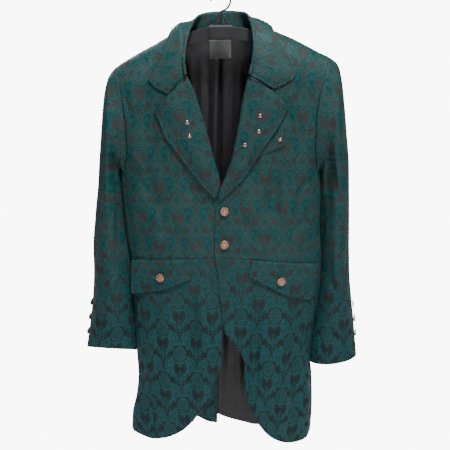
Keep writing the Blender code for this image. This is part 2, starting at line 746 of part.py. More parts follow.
def lapel_lift(side):
    """Height of a lapel's underside over the front: it rises from the roll and lies down outside."""
    rest = LEFT_LAPEL_LIFT if side == "left" else RIGHT_LAPEL_LIFT

    def lift(u, v, x, z):
        settle = min((1 - v) / 0.3, 1.0)
        flat = CLOSE + (rest - CLOSE) * settle
        return flat + LAPEL_PUFF * math.sin(math.pi * min(u, 1.0)) ** 2 * settle
    return lift


def lapel_grid(side, across, down):
    """Flat places of a lapel, from the roll line out to its edge."""
    table = LEFT_LAPEL if side == "left" else RIGHT_LAPEL
    edge = LEFT_EDGE if side == "left" else RIGHT_EDGE
    lowest = LAPEL_ROLL_END[side]
    roll = [place for place in edge if lowest.z + 12 < place.z < -160]
    roll_at = curve_through([Place(edge[2].x, edge[2].z - 2)] + roll + [lowest])
    grid = np.zeros((down, across, 2))
    for r in range(down):
        v = r / (down - 1)
        start = roll_at(v)
        for i in range(len(table) - 1):
            if v <= table[i + 1].t:
                break
        share = (v - table[i].t) / (table[i + 1].t - table[i].t)
        x = table[i].x + (table[i + 1].x - table[i].x) * share
        z = table[i].z + (table[i + 1].z - table[i].z) * share
        stop = np.array([x, z]) * MM
        for c in range(across):
            grid[r, c] = start + (stop - start) * c / (across - 1)
    return grid


def build_lapels(cloth):
    """Notched lapels, laid back on the fronts."""
    for side in ("right", "left"):
        grid = lapel_grid(side, 6, 15)
        outer, inner = on_face(grid, lapel_lift(side), LAPEL_WALL)
        wall_between(f"lapel_{side}", outer, inner, cloth)


def table_at(rows, column, share):
    """A table's column at a share of the way along its rows, on a smooth curve."""
    place = share * (len(rows) - 1)
    i = min(int(place), len(rows) - 2)
    series = [getattr(row, column) for row in rows]
    before = series[max(i - 1, 0)]
    after = series[min(i + 2, len(series) - 1)]
    return hermite(before, series[i], series[i + 1], after, place - i)


def below_shoulder(row):
    """Distance of a place from the shoulder line, above zero behind it and below zero in front."""
    return row.face * (shoulder_height(row.x * MM) / MM - row.z)


def wrapped_frame(x, below):
    """Point and normal of the surface by its signed distance from the shoulder line."""
    z = shoulder_height(x) - max(abs(below), 0.1 * MM)
    if abs(below) < 1.5 * MM:
        front, front_normal = front_frame(x, z, False)
        back, back_normal = front_frame(x, z, True)
        share = (below / (1.5 * MM) + 1) / 2
        return front * (1 - share) + back * share, unit(front_normal * (1 - share) + back_normal * share)
    return front_frame(x, z, below > 0)


def collar_section(share):
    """Points of the collar's middle layer: up the fall, over the fold and down the stand."""
    fold = np.array([table_at(COLLAR, name, share) for name in ("fold_x", "fold_y", "fold_z")]) * MM
    outline = [NeckPlace(row.edge_x, row.edge_z, row.face) for row in COLLAR]
    edges = [Wrapped(place.x, below_shoulder(place)) for place in outline]
    necks = [Wrapped(place.x, below_shoulder(place)) for place in NECKLINE]
    edge = np.array([table_at(edges, "x", share), table_at(edges, "below", share)]) * MM
    neck = np.array([table_at(necks, "x", share), table_at(necks, "below", share)]) * MM
    neck_point, neck_normal = wrapped_frame(*neck)
    away = fold - neck_point
    points = []
    for step in range(FALL_STEPS + 1):
        s = step / FALL_STEPS
        point, normal = wrapped_frame(*(edge + (neck - edge) * s))
        below = edge[1] + (neck[1] - edge[1]) * s
        ridge = RIDGE_LIFT * math.exp(-(below / RIDGE_REACH) ** 2)
        lift = CLOSE + COLLAR_WALL / 2 + 2.6 * MM * math.sin(math.pi * s * 0.62) + ridge
        points.append(point + normal * lift)
    outward = unit(np.array([fold[0], fold[1] + 10 * MM, 0.0]))
    points.append(fold + outward * COLLAR_ROLL - np.array([0, 0, COLLAR_ROLL]))
    points.append(fold)
    points.append(fold - outward * COLLAR_ROLL * 0.5 - np.array([0, 0, COLLAR_ROLL]))
    points.append(neck_point - neck_normal * WALL / 2 + unit(away) * (COLLAR_WALL * 0.5 + GAP))
    return points


def build_collar(cloth):
    """The turned-down collar: the fall over the shoulders and the stand inside the fold."""
    sections = [collar_section(i / (COLLAR_STATIONS - 1)) for i in range(COLLAR_STATIONS)]
    middle = np.array(sections)
    normals = grid_normals(middle)
    outer = middle + normals * COLLAR_WALL / 2
    inner = middle - normals * COLLAR_WALL / 2
    wall_between("collar", outer, inner, cloth)


def grid_normals(points, closed=False):
    """Unit normals of a grid of points, by its neighbours."""
    rows, columns = points.shape[:2]
    normals = np.zeros_like(points)
    for r in range(rows):
        for c in range(columns):
            up = points[max(r - 1, 0), c]
            down = points[min(r + 1, rows - 1), c]
            if closed:
                before = points[r, (c - 1) % columns]
                after = points[r, (c + 1) % columns]
            else:
                before = points[r, max(c - 1, 0)]
                after = points[r, min(c + 1, columns - 1)]
            normals[r, c] = unit(np.cross(down - up, after - before))
    return normals


def armhole_ring(side):
    """First ring of a sleeve, the armhole seam: its points and normals, front then back."""
    sign = 1 if side == "left" else -1
    halves = []
    for back in (False, True):
        half = []
        for z in armhole_heights(side):
            x, height = armhole_place(side, z, back)
            point, normal = front_frame(x, height, back)
            half.append((point + np.array([sign * GAP, 0.0, 0.0]), normal))
        start = half[-1][0]
        centre, width = half_widths(UNDERARM_Z)
        edge = centre + sign * (width + GAP)
        for step in range(1, UNDERARM_STEPS + 1):
            turn = step / UNDERARM_STEPS * math.pi / 2
            x = start[0] + (edge - start[0]) * math.sin(turn)
            point = np.array([x, start[1] * math.cos(turn), UNDERARM_Z + GAP])
            half.append((point, unit(np.array([-sign * 0.1, 0.0, -1.0]))))
        halves.append(half)
    front, behind = halves
    ring = front + behind[-2:0:-1]
    return [place[0] for place in ring], [place[1] for place in ring]


def sleeve_ring(row):
    """A ring of the sleeve below the armhole, front then back, round from its outer end."""
    outer = np.array([row.outer_x, 0.0, row.outer_z]) * MM
    inner = np.array([row.inner_x, 0.0, row.inner_z]) * MM
    points = []
    count = SLEEVE_HALF_POINTS * 2
    for k in range(count):
        turn = 2 * math.pi * k / count
        along = (1 - math.cos(turn)) / 2
        depth = math.copysign(abs(math.sin(turn)) ** (2 * SLEEVE_POWER), math.sin(turn))
        reach = row.front if depth > 0 else row.back
        point = outer + (inner - outer) * along
        crease = row.crease * math.exp(-((along - CREASE_PLACE) / CREASE_WIDTH) ** 2) if depth > 0 else 0
        point[1] = (row.set_back + crease - depth * reach) * MM
        point[2] += row.lift * max(depth, 0.0) * MM
        points.append(point)
    return points


def build_sleeves(cloth):
    """Two-piece sleeves: the top sleeve in front, the under sleeve behind."""
    for side, table in (("right", RIGHT_SLEEVE), ("left", LEFT_SLEEVE)):
        armhole, armhole_normals = armhole_ring(side)
        points = np.array([armhole] + [sleeve_ring(row) for row in table])
        normals = grid_normals(points, closed=True)
        centre = points.mean(axis=1, keepdims=True)
        turned = np.sum(normals * (points - centre), axis=2).mean()
        if turned < 0:
            normals = -normals
        normals[0] = armhole_normals
        inner = points - normals * WALL
        half = SLEEVE_HALF_POINTS
        for name, start in (("top", 0), ("under", half)):
            picks = [(start + k) % (2 * half) for k in range(half + 1)]
            out = points[:, picks].copy()
            ins = inner[:, picks].copy()
            shift = -SEAM_HALF if name == "top" else SEAM_HALF
            for sheet in (out, ins):
                sheet[:, 0, 1] += shift
                sheet[:, -1, 1] += shift
            wall_between(f"sleeve_{side}_{name}", out, ins, cloth)


def quad_grid(corners, across, down, point_drop=0.0):
    """Flat places between four corners; the lower border may run to a soft point in its middle."""
    a, b, c, d = [np.array([corner.x, corner.z]) * MM for corner in corners]
    grid = np.zeros((down, across, 2))
    for r in range(down):
        v = r / (down - 1)
        for k in range(across):
            u = k / (across - 1)
            grid[r, k] = (1 - v) * ((1 - u) * a + u * b) + v * ((1 - u) * d + u * c)
            grid[r, k, 1] -= point_drop * math.sin(math.pi * u) ** 2 * v
    return grid


def flap_frame(x, z):
    """Point and normal under a flap: the front, and straight on from it past the side's turn."""
    centre, half = half_widths(z)
    limit = half * FLAP_STRAIGHT
    inside = centre + min(max(x - centre, -limit), limit)
    point, normal = front_frame(inside, z)
    if abs(x - inside) < 0.01 * MM:
        return point, normal
    slope = (point[1] - face_point(inside - math.copysign(2 * MM, x), z)[1]) / (2 * MM)
    moved = np.array([x, point[1] + slope * abs(x - inside) * 0.8, z])
    return moved, normal


def build_flaps(cloth):
    """Hip flaps and the chest welt, laid on the fronts."""
    for side, corners in (("right", FLAP_RIGHT), ("left", FLAP_LEFT)):
        grid = quad_grid(corners, 10, 4, FLAP_POINT_DROP)
        outer = np.zeros(grid.shape[:2] + (3,))
        inner = np.zeros(grid.shape[:2] + (3,))
        for r in range(grid.shape[0]):
            for c in range(grid.shape[1]):
                point, normal = flap_frame(*grid[r, c])
                inner[r, c] = point + normal * CLOSE
                outer[r, c] = point + normal * (CLOSE + FLAP_WALL)
        wall_between(f"flap_{side}", outer, inner, cloth)
    wall_between("chest_welt", *on_face(quad_grid(WELT, 6, 3), CLOSE, WELT_WALL), cloth)


def turned_piece(name, profile, sides, base, normal, finish):
    """A turned piece from its (radius, height) profile, standing on a base point along a normal."""
    up = unit(np.array(normal))
    side_way = unit(np.cross(np.array([0.0, 0.0, 1.0]), up))
    other = np.cross(up, side_way)
    bm = bmesh.new()
    low = bm.verts.new(base + up * profile[0][1])
    high = bm.verts.new(base + up * profile[-1][1])
    rings = []
    for radius, height in profile[1:-1]:
        ring = []
        for k in range(sides):
            turn = 2 * math.pi * k / sides
            offset = side_way * math.cos(turn) * radius + other * math.sin(turn) * radius
            ring.append(bm.verts.new(base + offset + up * height))
        rings.append(ring)
    for k in range(sides):
        j = (k + 1) % sides
        bm.faces.new((low, rings[0][j], rings[0][k]))
        bm.faces.new((high, rings[-1][k], rings[-1][j]))
    grid_faces(bm, rings, closed=True)
    bmesh.ops.triangulate(bm, faces=bm.faces)
    return add_object(name, bm, finish)


def button_profile(radius):
    """Profile of a shank button: flat back, raised rim, sunk ring and domed centre."""
    return [
        (0, 0), (radius * 0.86, 0), (radius, BUTTON_HEIGHT * 0.45), (radius * 0.92, BUTTON_HEIGHT),
        (radius * 0.72, BUTTON_HEIGHT * 0.78), (radius * 0.4, BUTTON_HEIGHT * 0.9), (0, BUTTON_HEIGHT),
    ]


def rivet_profile():
    """Profile of a small domed rivet."""
    return [
        (0, 0), (RIVET_RADIUS, 0), (RIVET_RADIUS * 0.9, RIVET_HEIGHT * 0.55),
        (RIVET_RADIUS * 0.5, RIVET_HEIGHT * 0.9), (0, RIVET_HEIGHT),
    ]


def lapel_height(side, x, z):
    """Height of a lapel's outer side over the front at a place."""
    grid = lapel_grid(side, 25, 49)
    distance = np.hypot(grid[:, :, 0] - x, grid[:, :, 1] - z)
    r, c = np.unravel_index(int(np.argmin(distance)), distance.shape)
    return lapel_lift(side)(c / 24, r / 48, x, z) + LAPEL_WALL


def build_buttons(copper):
    """Front, flap and cuff buttons, and the rivets of the lapels and welt."""
    coat_button = button_profile(BUTTON_RADIUS)
    for i, place in enumerate(FRONT_BUTTONS, start=1):
        point, normal = front_frame(place.x * MM, place.z * MM)
        turned_piece(f"button_front_{i}", coat_button, 14, point + normal * CLOSE, normal, copper)
    for side, place in FLAP_BUTTONS.items():
        point, normal = front_frame(place.x * MM, place.z * MM)
        base = point + normal * (2 * CLOSE + FLAP_WALL)
        turned_piece(f"button_flap_{side}", coat_button, 14, base, normal, copper)
    for name, places in RIVETS.items():
        side = name.split("_")[1]
        for i, place in enumerate(places, start=1):
            x, z = place.x * MM, place.z * MM
            point, normal = front_frame(x, z)
            around = [(0, 0), (1, 0), (-1, 0), (0, 1), (0, -1)]
            rim = [(x + a * RIVET_RADIUS, z + b * RIVET_RADIUS) for a, b in around]
            seat = max(lapel_height(side, *place) for place in rim)
            base = point + normal * (seat + CLOSE)
            turned_piece(f"rivet_{name}_{i}", rivet_profile(), 10, base, normal, copper)
    point, normal = front_frame(WELT_RIVET.x * MM, WELT_RIVET.z * MM)
    base = point + normal * (2 * CLOSE + WELT_WALL)
    turned_piece("rivet_welt", rivet_profile(), 10, base, normal, copper)
    for side, table in (("right", RIGHT_SLEEVE), ("left", LEFT_SLEEVE)):
        for i, z in enumerate(CUFF_BUTTON_Z, start=1):
            base, normal = cuff_place(side, table, z)
            name = f"button_cuff_{side}_{i}"
            turned_piece(name, button_profile(CUFF_BUTTON_RADIUS), 10, base, normal, copper)


def cuff_place(side, table, z):
    """Seat of a cuff button on the flat of the sleeve beside its outer edge."""
    heights = [row.outer_z * MM for row in table]
    for i in range(len(table) - 1):
        if z >= heights[i + 1]:
            break
    share = (heights[i] - z) / (heights[i] - heights[i + 1])
    upper = sleeve_ring(table[i])
    lower = sleeve_ring(table[i + 1])
    ends = [upper[k] + (lower[k] - upper[k]) * share for k in (0, CUFF_BUTTON_POINT[side])]
    normal = unit(np.cross(ends[1] - ends[0], lower[0] - upper[0]))
    if normal[0] * ends[0][0] < 0:
        normal = -normal
    return (ends[0] + ends[1]) / 2 + normal * 0.7 * MM, normal


def build_label(cloth):
    """The bare woven label inside the back of the neck."""
    grid = np.zeros((3, 4, 2))
    for r in range(3):
        for c in range(4):
            grid[r, c] = (LABEL_X + LABEL_WIDTH * (c / 3 - 0.5), LABEL_TOP_Z - LABEL_HEIGHT * r / 2)
    thickness = 0.8 * MM
    under = -WALL - LINING_GAP - LINING_WALL - LABEL_GAP - thickness
    outer, inner = on_face(grid, under, thickness, back=True)
    wall_between("label", outer, inner, cloth)


def tube(name, route, radius, sides, finish):
    """A round bar along a route of points, closed at both ends."""
    curve = bpy.data.curves.new(name, "CURVE")
    curve.dimensions = "3D"
    curve.bevel_depth = radius
    curve.bevel_resolution = sides
    curve.use_fill_caps = True
    spline = curve.splines.new("POLY")
    spline.points.add(len(route) - 1)
    for point, place in zip(spline.points, route):
        point.co = (*place, 1.0)
    made = bpy.data.objects.new(name, curve)
    made.data.materials.append(finish)
    bpy.context.scene.collection.objects.link(made)
    return made


def build_hanger(plastic, steel):
    """The hanger: two arms under the shoulders, a centre block and a wire hook."""
    reach = HANGER_REACH
    rows = []
    for i in range(HANGER_STATIONS):
        x = -reach + 2 * reach * i / (HANGER_STATIONS - 1)
        top = arm_top(x)
        taper = (abs(x) / reach) ** 2
        half = HANGER_ARM_HALF * (1 - 0.3 * taper)
        low = top - HANGER_ARM_HEIGHT * (1 - 0.35 * taper)
        edge = top - 2 * MM
        crown = half * 0.45
        ring = [
            (x, -crown, top), (x, crown, top), (x, half, edge), (x, half, low), (x, -half, low),
            (x, -half, edge),
        ]
        rows.append(ring)
    bm = bmesh.new()
    rings = [[bm.verts.new(p) for p in ring] for ring in rows]
    grid_faces(bm, rings, closed=True)
    bm.faces.new(rings[0])
    bm.faces.new(list(reversed(rings[-1])))
    bmesh.ops.triangulate(bm, faces=bm.faces)
    add_object("hanger_arms", bm, plastic)
    build_block(plastic)
    build_hook(steel)


def arm_top(x):
    """Top of the hanger's arms: just under the shoulder cloth, and level across the block."""
    block_edge = BLOCK_WIDTH / 2
    centre_z = BLOCK_TOP_Z - BLOCK_ROOF
    if abs(x) <= block_edge:
        return centre_z
    if abs(x) >= HANGER_FREE:
        return shoulder_height(x) - WALL - HANGER_CLEAR
    end = shoulder_height(math.copysign(HANGER_FREE, x)) - WALL - HANGER_CLEAR
    share = (abs(x) - block_edge) / (HANGER_FREE - block_edge)
    return centre_z + (end - centre_z) * share


def build_block(plastic):
    """The centre block: a saddle over the arms, with chamfered edges."""
    side = BLOCK_HALF_DEPTH
    inside = HANGER_ARM_HALF + GAP
    top = BLOCK_TOP_Z
    low = top - BLOCK_HEIGHT - BLOCK_SKIRT
    step = BLOCK_CHAMFER
    bridge = top - BLOCK_ROOF + GAP
    outline = [(side - step / 2, low), (side, low + step), (side, top - step), (side - step, top)]
    hollow = [(inside, low), (inside, low + step), (inside, bridge - step), (inside, bridge)]
    outline = outline + [(-y, z) for y, z in reversed(outline)]
    hollow = hollow + [(-y, z) for y, z in reversed(hollow)]
    half = BLOCK_WIDTH / 2
    outer = [[(x, y, z) for x in (-half, half)] for y, z in outline]
    inner = [[(x, y, z) for x in (-half, half)] for y, z in hollow]
    wall_between("hanger_block", outer, inner, plastic)


def build_hook(steel):
    """The wire hook, whose inner top is the origin, and two struts from the block to its stem."""
    radius = HOOK_INNER_RADIUS + HOOK_WIRE_RADIUS
    centre_z = -HOOK_INNER_RADIUS
    foot = BLOCK_TOP_Z + GAP
    route = [(0.0, 0.0, foot), (0.0, 0.0, foot + 6 * MM), (0.0, 0.0, centre_z - radius - 2 * MM)]
    steps = 16
    for i in range(steps + 1):
        turn = math.radians(-78 + 262 * i / steps)
        route.append((radius * math.cos(turn), 0.0, centre_z + radius * math.sin(turn)))
    tube("hanger_hook", route, HOOK_WIRE_RADIUS, 2, steel)
    for side, sign in (("right", -1), ("left", 1)):
        start = (sign * STRUT_FOOT, 0.0, BLOCK_TOP_Z + GAP + STRUT_RADIUS * 0.6)
        end = (sign * (HOOK_WIRE_RADIUS + STRUT_RADIUS + CLOSE), 0.0, BLOCK_TOP_Z + STRUT_RISE)
        tube(f"hanger_strut_{side}", [start, end], STRUT_RADIUS, 1, steel)


def clear_scene():
    """Removes whatever the file opened with."""
    for thing in list(bpy.data.objects):
        bpy.data.objects.remove(thing, do_unlink=True)


def main():
    clear_scene()
    cloth = material("brocade", (0.012, 0.045, 0.047), 0.62)
    lining = material("lining", (0.010, 0.009, 0.014), 0.45)
    woven = material("label_weave", (0.055, 0.06, 0.065), 0.8)
    copper = material("copper", (0.48, 0.24, 0.16), 0.35, 1.0)
    plastic = material("hanger_plastic", (0.045, 0.047, 0.05), 0.4)
    steel = material("hanger_wire", (0.12, 0.12, 0.125), 0.35, 1.0)
    build_fronts(cloth)
    build_sides(cloth)
    build_backs(cloth, lining)
    build_lapels(cloth)
    build_collar(cloth)
    build_sleeves(cloth)
    build_flaps(cloth)
    build_buttons(copper)
    build_label(woven)
    build_hanger(plastic, steel)


main()
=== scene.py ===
# %% [markdown]
# # A brocade tailcoat on its hanger
#
# This lesson dresses a plain CAD model of a cutaway jacket. The CAD model has every panel as a closed
# wall with the real size. Here each panel gets a finer grid, creases, turned edges and a woven
# paisley pattern. Buttons, rivets and stitches follow, and then light and a camera.
#
# All sizes are in metres in the scene, and in millimetres inside the tables.

import math

import bpy
import numpy as np
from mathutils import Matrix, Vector


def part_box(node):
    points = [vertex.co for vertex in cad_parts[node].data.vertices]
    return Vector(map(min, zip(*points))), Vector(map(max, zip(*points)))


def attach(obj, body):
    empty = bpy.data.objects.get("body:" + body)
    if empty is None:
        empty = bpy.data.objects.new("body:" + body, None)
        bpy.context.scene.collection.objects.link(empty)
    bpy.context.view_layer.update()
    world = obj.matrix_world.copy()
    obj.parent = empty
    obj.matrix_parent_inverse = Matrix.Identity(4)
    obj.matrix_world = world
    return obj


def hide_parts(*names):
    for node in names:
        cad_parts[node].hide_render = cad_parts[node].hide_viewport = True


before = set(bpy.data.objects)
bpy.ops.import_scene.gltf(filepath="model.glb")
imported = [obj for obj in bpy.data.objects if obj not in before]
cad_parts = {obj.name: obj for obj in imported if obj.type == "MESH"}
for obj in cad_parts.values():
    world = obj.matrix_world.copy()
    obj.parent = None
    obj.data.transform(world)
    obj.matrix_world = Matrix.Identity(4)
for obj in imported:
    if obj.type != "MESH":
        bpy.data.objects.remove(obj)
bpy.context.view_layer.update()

MM = 0.001

# %% [markdown]
# ## Reading the garment's measures
#
# The jacket is one surface that the panels are cut from: a flattened tube, closed along the shoulder
# line. Its width and depth change with height, so they are kept in a table with a row for each height.
# You could model such a body by sculpting. Tables are better for a garment, because a maker's measures
# go straight in, and a finer grid of the same surface is only a matter of asking for more points.

# %% Tables of the garment's surface
def table(columns, rows):
    """One array of metres for each named column of a table in millimetres."""
    return {name: np.array(values, float) * MM for name, values in zip(columns.split(), zip(*rows))}


SECTIONS = table("z right left front back", [
    (-30, -270, 280, 34, 34), (-130, -270, 280, 50, 40), (-200, -256, 262, 56, 43),
    (-260, -236, 242, 57, 44), (-310, -217, 219, 56, 43), (-345, -209, 207, 55, 42),
    (-400, -207, 208.5, 54, 41), (-484, -203, 211.5, 52, 40), (-534, -195.5, 215, 51, 40),
    (-607, -193, 214.5, 51, 41), (-702, -192, 206, 52, 43), (-773, -190, 200, 54, 45),
    (-821, -189, 206, 56, 47), (-875, -196, 210, 57, 48), (-920, -207, 211, 58, 49),
    (-1000, -211, 208, 58, 50),
])
SHOULDER = table("x z", [
    (-262, -240), (-240, -196), (-222, -158), (-205, -139), (-175, -121), (-144, -105), (-119, -91),
    (-75, -66), (-35, -50), (0, -44), (35, -48), (75, -60), (107, -73), (140, -86), (171, -101),
    (198, -114), (213, -121), (235, -134), (262, -156),
])
FOLD_COLUMNS = "top_x top_z end_x end_z width height"
FRONT_FOLDS = table(FOLD_COLUMNS, [
    (-64, -350, -25, -455, 13, -5), (68, -300, 70, -420, 16, -5), (112, -290, 104, -470, 15, -5),
    (-150, -170, -135, -330, 20, -5), (165, -150, 150, -330, 20, -5), (-150, -420, -120, -520, 22, 4),
    (84, -600, 74, -850, 17, -7), (135, -640, 140, -950, 24, 6), (175, -600, 172, -940, 16, -6),
    (-38, -600, -22, -800, 16, 7), (-75, -640, -80, -900, 20, -7), (-130, -650, -135, -940, 22, 6),
])
BACK_FOLDS = table(FOLD_COLUMNS, [
    (-120, -200, -95, -480, 22, -6), (120, -200, 92, -480, 22, -6), (-75, -560, -95, -960, 22, 9),
    (75, -560, 95, -960, 22, 9), (-125, -580, -145, -960, 20, -8), (125, -580, 145, -960, 20, -8),
    (-32, -600, -42, -960, 16, -6), (32, -600, 42, -960, 16, -6),
])
WIDTH_POWER = 2.8
DEPTH_POWER = 2.3
SHOULDER_FALL = 75 * MM
UNDERARM_Z = -345 * MM
WALL = 2.0 * MM
UNDERLAP_DROP = WALL + 1.2 * MM
UNDERLAP_START = -45 * MM
UNDERLAP_SPAN = 30 * MM
SEAM_HALF = 0.15 * MM
CLOSE = 0.5 * MM
LINING_WALL = 1.0 * MM
LINING_GAP = 0.8 * MM
fold_count = len(FRONT_FOLDS["height"]) + len(BACK_FOLDS["height"])
print("section rows:", len(SECTIONS["z"]), "large folds:", fold_count)

# %% [markdown]
# ## Borders of the panels
#
# Each panel is bounded by four borders: a top, a bottom, an inner and an outer one. The places below
# are (x, z) as seen from the front, so a border can be read off a photograph or a pattern sheet.

# %% Tables of the borders
def places(*rows):
    """Places across and up, in metres, from pairs in millimetres."""
    return np.array(rows, float) * MM


EDGE = {
    "right": places((-75, -66), (-73, -105), (-66, -154), (-51, -188), (-40, -222), (-27, -270),
                    (-15, -315), (-3, -363), (7, -397), (13, -440), (13, -528)),
    "left": places((75, -60), (66, -108), (55, -154), (44, -203), (36, -251), (28, -295), (22, -322),
                   (11, -352), (-1, -381), (-8, -405), (-12, -450), (-13, -528)),
}
ARMHOLE = {
    "right": places((-205, -139), (-198, -165), (-191, -222), (-188, -262), (-190, -310), (-198, -345)),
    "left": places((213, -121), (205, -150), (193, -197), (188, -242), (190, -300), (196, -345)),
}
SIDE_SEAM = {
    "right": places((-198, -345), (-197, -400), (-191, -484), (-184, -534), (-181, -607), (-177, -702),
                    (-169, -773), (-158, -875), (-153, -970)),
    "left": places((196, -345), (198, -400), (201, -484), (204, -540), (203, -607), (196, -702),
                   (191, -773), (196, -875), (196, -984)),
}
SKIRT_EDGE = {
    "right": places((13, -528), (10, -600), (4, -680), (0, -736), (0, -773), (-10, -806), (-16, -831),
                    (-33, -871), (-57, -900)),
    "left": places((-13, -528), (-6, -569), (-1, -630), (7, -691), (22, -718), (43, -748), (52, -775),
                   (51, -810), (56, -849), (69, -893)),
}
SKIRT_HEM = {
    "right": places((-57, -900), (-71, -922), (-90, -942), (-120, -960), (-153, -970)),
    "left": places((69, -893), (86, -926), (109, -956), (135, -974), (160, -982), (196, -984)),
}
WAIST = {
    "right": places((13, -528), (-60, -528), (-184, -534)),
    "left": places((-13, -528), (70, -530), (204, -545)),
}
BACK_HEM = {
    "right": places((-11, -987), (-36, -981), (-72, -962), (-120, -958)),
    "left": places((-10.77, -966), (18, -979), (52, -989), (87, -996), (130, -985)),
}
SIDE_HEM_BACK_Z = -958 * MM
BACK_SEAM_ANGLE = math.radians(-30)
BACK_ARMHOLE_Z = -230 * MM
NECK_BACK_Z = -78 * MM
LAPEL_EDGE = {
    "right": ([0, 0.12, 0.38, 0.60, 0.85, 1],
              places((-101, -192), (-128, -219), (-108, -273), (-80, -312), (-40, -366), (-13, -396))),
    "left": ([0, 0.12, 0.34, 0.56, 0.84, 1],
             places((101, -184), (132, -211), (113, -251), (86, -291), (45, -356), (-3, -403))),
}
ROLL_END = {"right": (-9 * MM, -391 * MM), "left": (-4 * MM, -394 * MM)}
FLAP = {
    "right": places((-65, -530), (-190, -538), (-195, -616), (-61, -571)),
    "left": places((66, -531), (204, -548), (196, -630), (56, -565)),
}
WELT = places((62, -291), (124, -264), (127, -289), (66, -316))
COLLAR = table("fold_x fold_y fold_z edge_x edge_z face", [
    (-66, -62, -151, -101, -190, -1), (-69, -58, -136, -137, -163, -1), (-68, -48, -112, -118, -117, -1),
    (-61, -22, -74, -99, -89, -1), (-50, 6, -50, -84, -80, 1), (-34, 27, -39, -56, -98, 1),
    (0, 38, -35, 0, -104, 1), (36, 27, -36, 58, -92, 1), (53, 6, -42, 86, -76, 1),
    (60, -22, -62, 103, -82, -1), (63, -46, -100, 127, -119, -1), (60, -58, -134, 142, -157, -1),
    (56, -63, -150, 102, -180, -1),
])
NECKLINE = table("x z face", [
    (-65, -154, -1), (-68, -134, -1), (-71, -108, -1), (-73, -82, -1), (-71.5, -67.5, 1),
    (-45, -74, 1), (0, -76.5, 1), (45, -72.5, 1), (71, -63, 1), (71, -76, -1), (65, -106, -1),
    (58.5, -134, -1), (54, -154, -1),
])
RING_COLUMNS = "outer_x outer_z inner_x inner_z front back crease set_back lift"
SLEEVE = {
    "left": table(RING_COLUMNS, [
        (232, -136, 207.5, -348, 51, 44, 0, 0, 0), (242, -167, 209, -351, 54, 48, 5, 0, 0),
        (250, -215, 209.3, -357, 56, 50, 10, 1, 0), (258, -268, 209.6, -368, 57, 52, 13, 3, 0),
        (266, -325, 210, -388, 57, 53, 13, 5, 0), (271, -385, 211, -420, 56, 52, 8, 7, 0),
        (275, -445, 213, -462, 54, 51, 3, 8, 0), (278, -510, 216, -518, 51, 48, 0, 8, 0),
        (283, -575, 217.3, -580, 47, 44, 0, 8, 0), (290, -632, 216, -636, 42, 39, 0, 7, 0),
        (298, -684, 210, -690, 37, 34, 0, 6, 0), (304, -732, 205, -744, 33, 30, 0, 5, 0),
        (311, -778, 206, -796, 31, 28, 0, 5, 0),
    ]),
    "right": table(RING_COLUMNS, [
        (-222, -157, -209.5, -348, 51, 44, 0, 0, 0), (-232, -186, -211, -351, 54, 48, 7, 0, 0),
        (-239, -228, -211, -357, 56, 50, 13, 2, 0), (-246, -278, -211, -368, 57, 52, 15, 5, 0),
        (-253, -332, -210.4, -388, 57, 53, 12, 8, 0), (-259, -390, -208.8, -420, 56, 52, 7, 10, 0),
        (-268, -450, -207, -462, 54, 51, 2, 11, 0), (-277, -510, -200, -518, 51, 48, 0, 11, 0),
        (-281, -575, -196.5, -580, 47, 44, 0, 10, 0), (-286, -628, -195.5, -632, 42, 39, 0, 8, 0),
        (-293, -676, -195, -680, 37, 34, 0, 7, 0), (-301, -722, -194, -726, 33, 30, 0, 6, 7),
        (-308, -760, -193.5, -768, 31, 28, 0, 6, 15),
    ]),
}
SIGN = {"right": -1, "left": 1}
print("panels are cut for both sides:", list(SIGN))

# %% [markdown]
# ## Smooth curves and the surface itself
#
# A smooth curve through table rows is a Hermite curve: each row's slope comes from its neighbours.
# numpy works on whole grids at once here, which keeps thousands of points quick.

# %% Curves through rows
def hermite(before, start, end, after, share):
    """A smooth curve between two values, with the slopes that their neighbours give."""
    s2 = share * share
    s3 = s2 * share
    blend = (2 * s3 - 3 * s2 + 1) * start + (s3 - 2 * s2 + share) * (end - before) / 2
    return blend + (3 * s2 - 2 * s3) * end + (s3 - s2) * (after - start) / 2


def read_smooth(keys, values, at):
    """Reads rows at rising keys on a smooth curve; values may be numbers or points."""
    at = np.clip(np.asarray(at, float), keys[0], keys[-1])
    i = np.clip(np.searchsorted(keys, at, side="right") - 1, 0, len(keys) - 2)
    share = (at - keys[i]) / (keys[i + 1] - keys[i])
    if values.ndim > 1:
        share = share.reshape(share.shape + (1,) * (values.ndim - 1))
    last = len(keys) - 1
    before = values[np.maximum(i - 1, 0)]
    after = values[np.minimum(i + 2, last)]
    return hermite(before, values[i], values[i + 1], after, share)


def at_height(rows, name, z):
    """A table's column at heights, which fall from row to row."""
    return read_smooth(-rows["z"], rows[name], -np.asarray(z, float))


def hump(values, at, width):
    """A bell curve: 1 where the values are at a place, falling to 0 past a width from it."""
    return np.exp(-((values - at) / width) ** 2)


def soft_step(share):
    """A share kept between 0 and 1 and eased at both ends."""
    share = np.clip(share, 0, 1)
    return share * share * (3 - 2 * share)


def pairs(across, down):
    """A grid of places from two arrays, the second one running down."""
    return np.stack(np.broadcast_arrays(across[None, :], down[:, None]), axis=-1)


def lengths_of(points):
    """Running length along a list of points, in metres."""
    steps = np.linalg.norm(np.diff(points, axis=0), axis=-1)
    return np.concatenate([[0.0], np.cumsum(steps)])


def shares_of(points):
    """Running length along a list of points, as a share of the whole."""
    run = lengths_of(points)
    return run / run[-1]


def along(border, shares):
    """Places on a border at shares of its length."""
    return read_smooth(shares_of(border), border, shares)


def shoulder_height(x):
    """Height of the shoulder line over a place across."""
    return read_smooth(SHOULDER["x"], SHOULDER["z"], x)
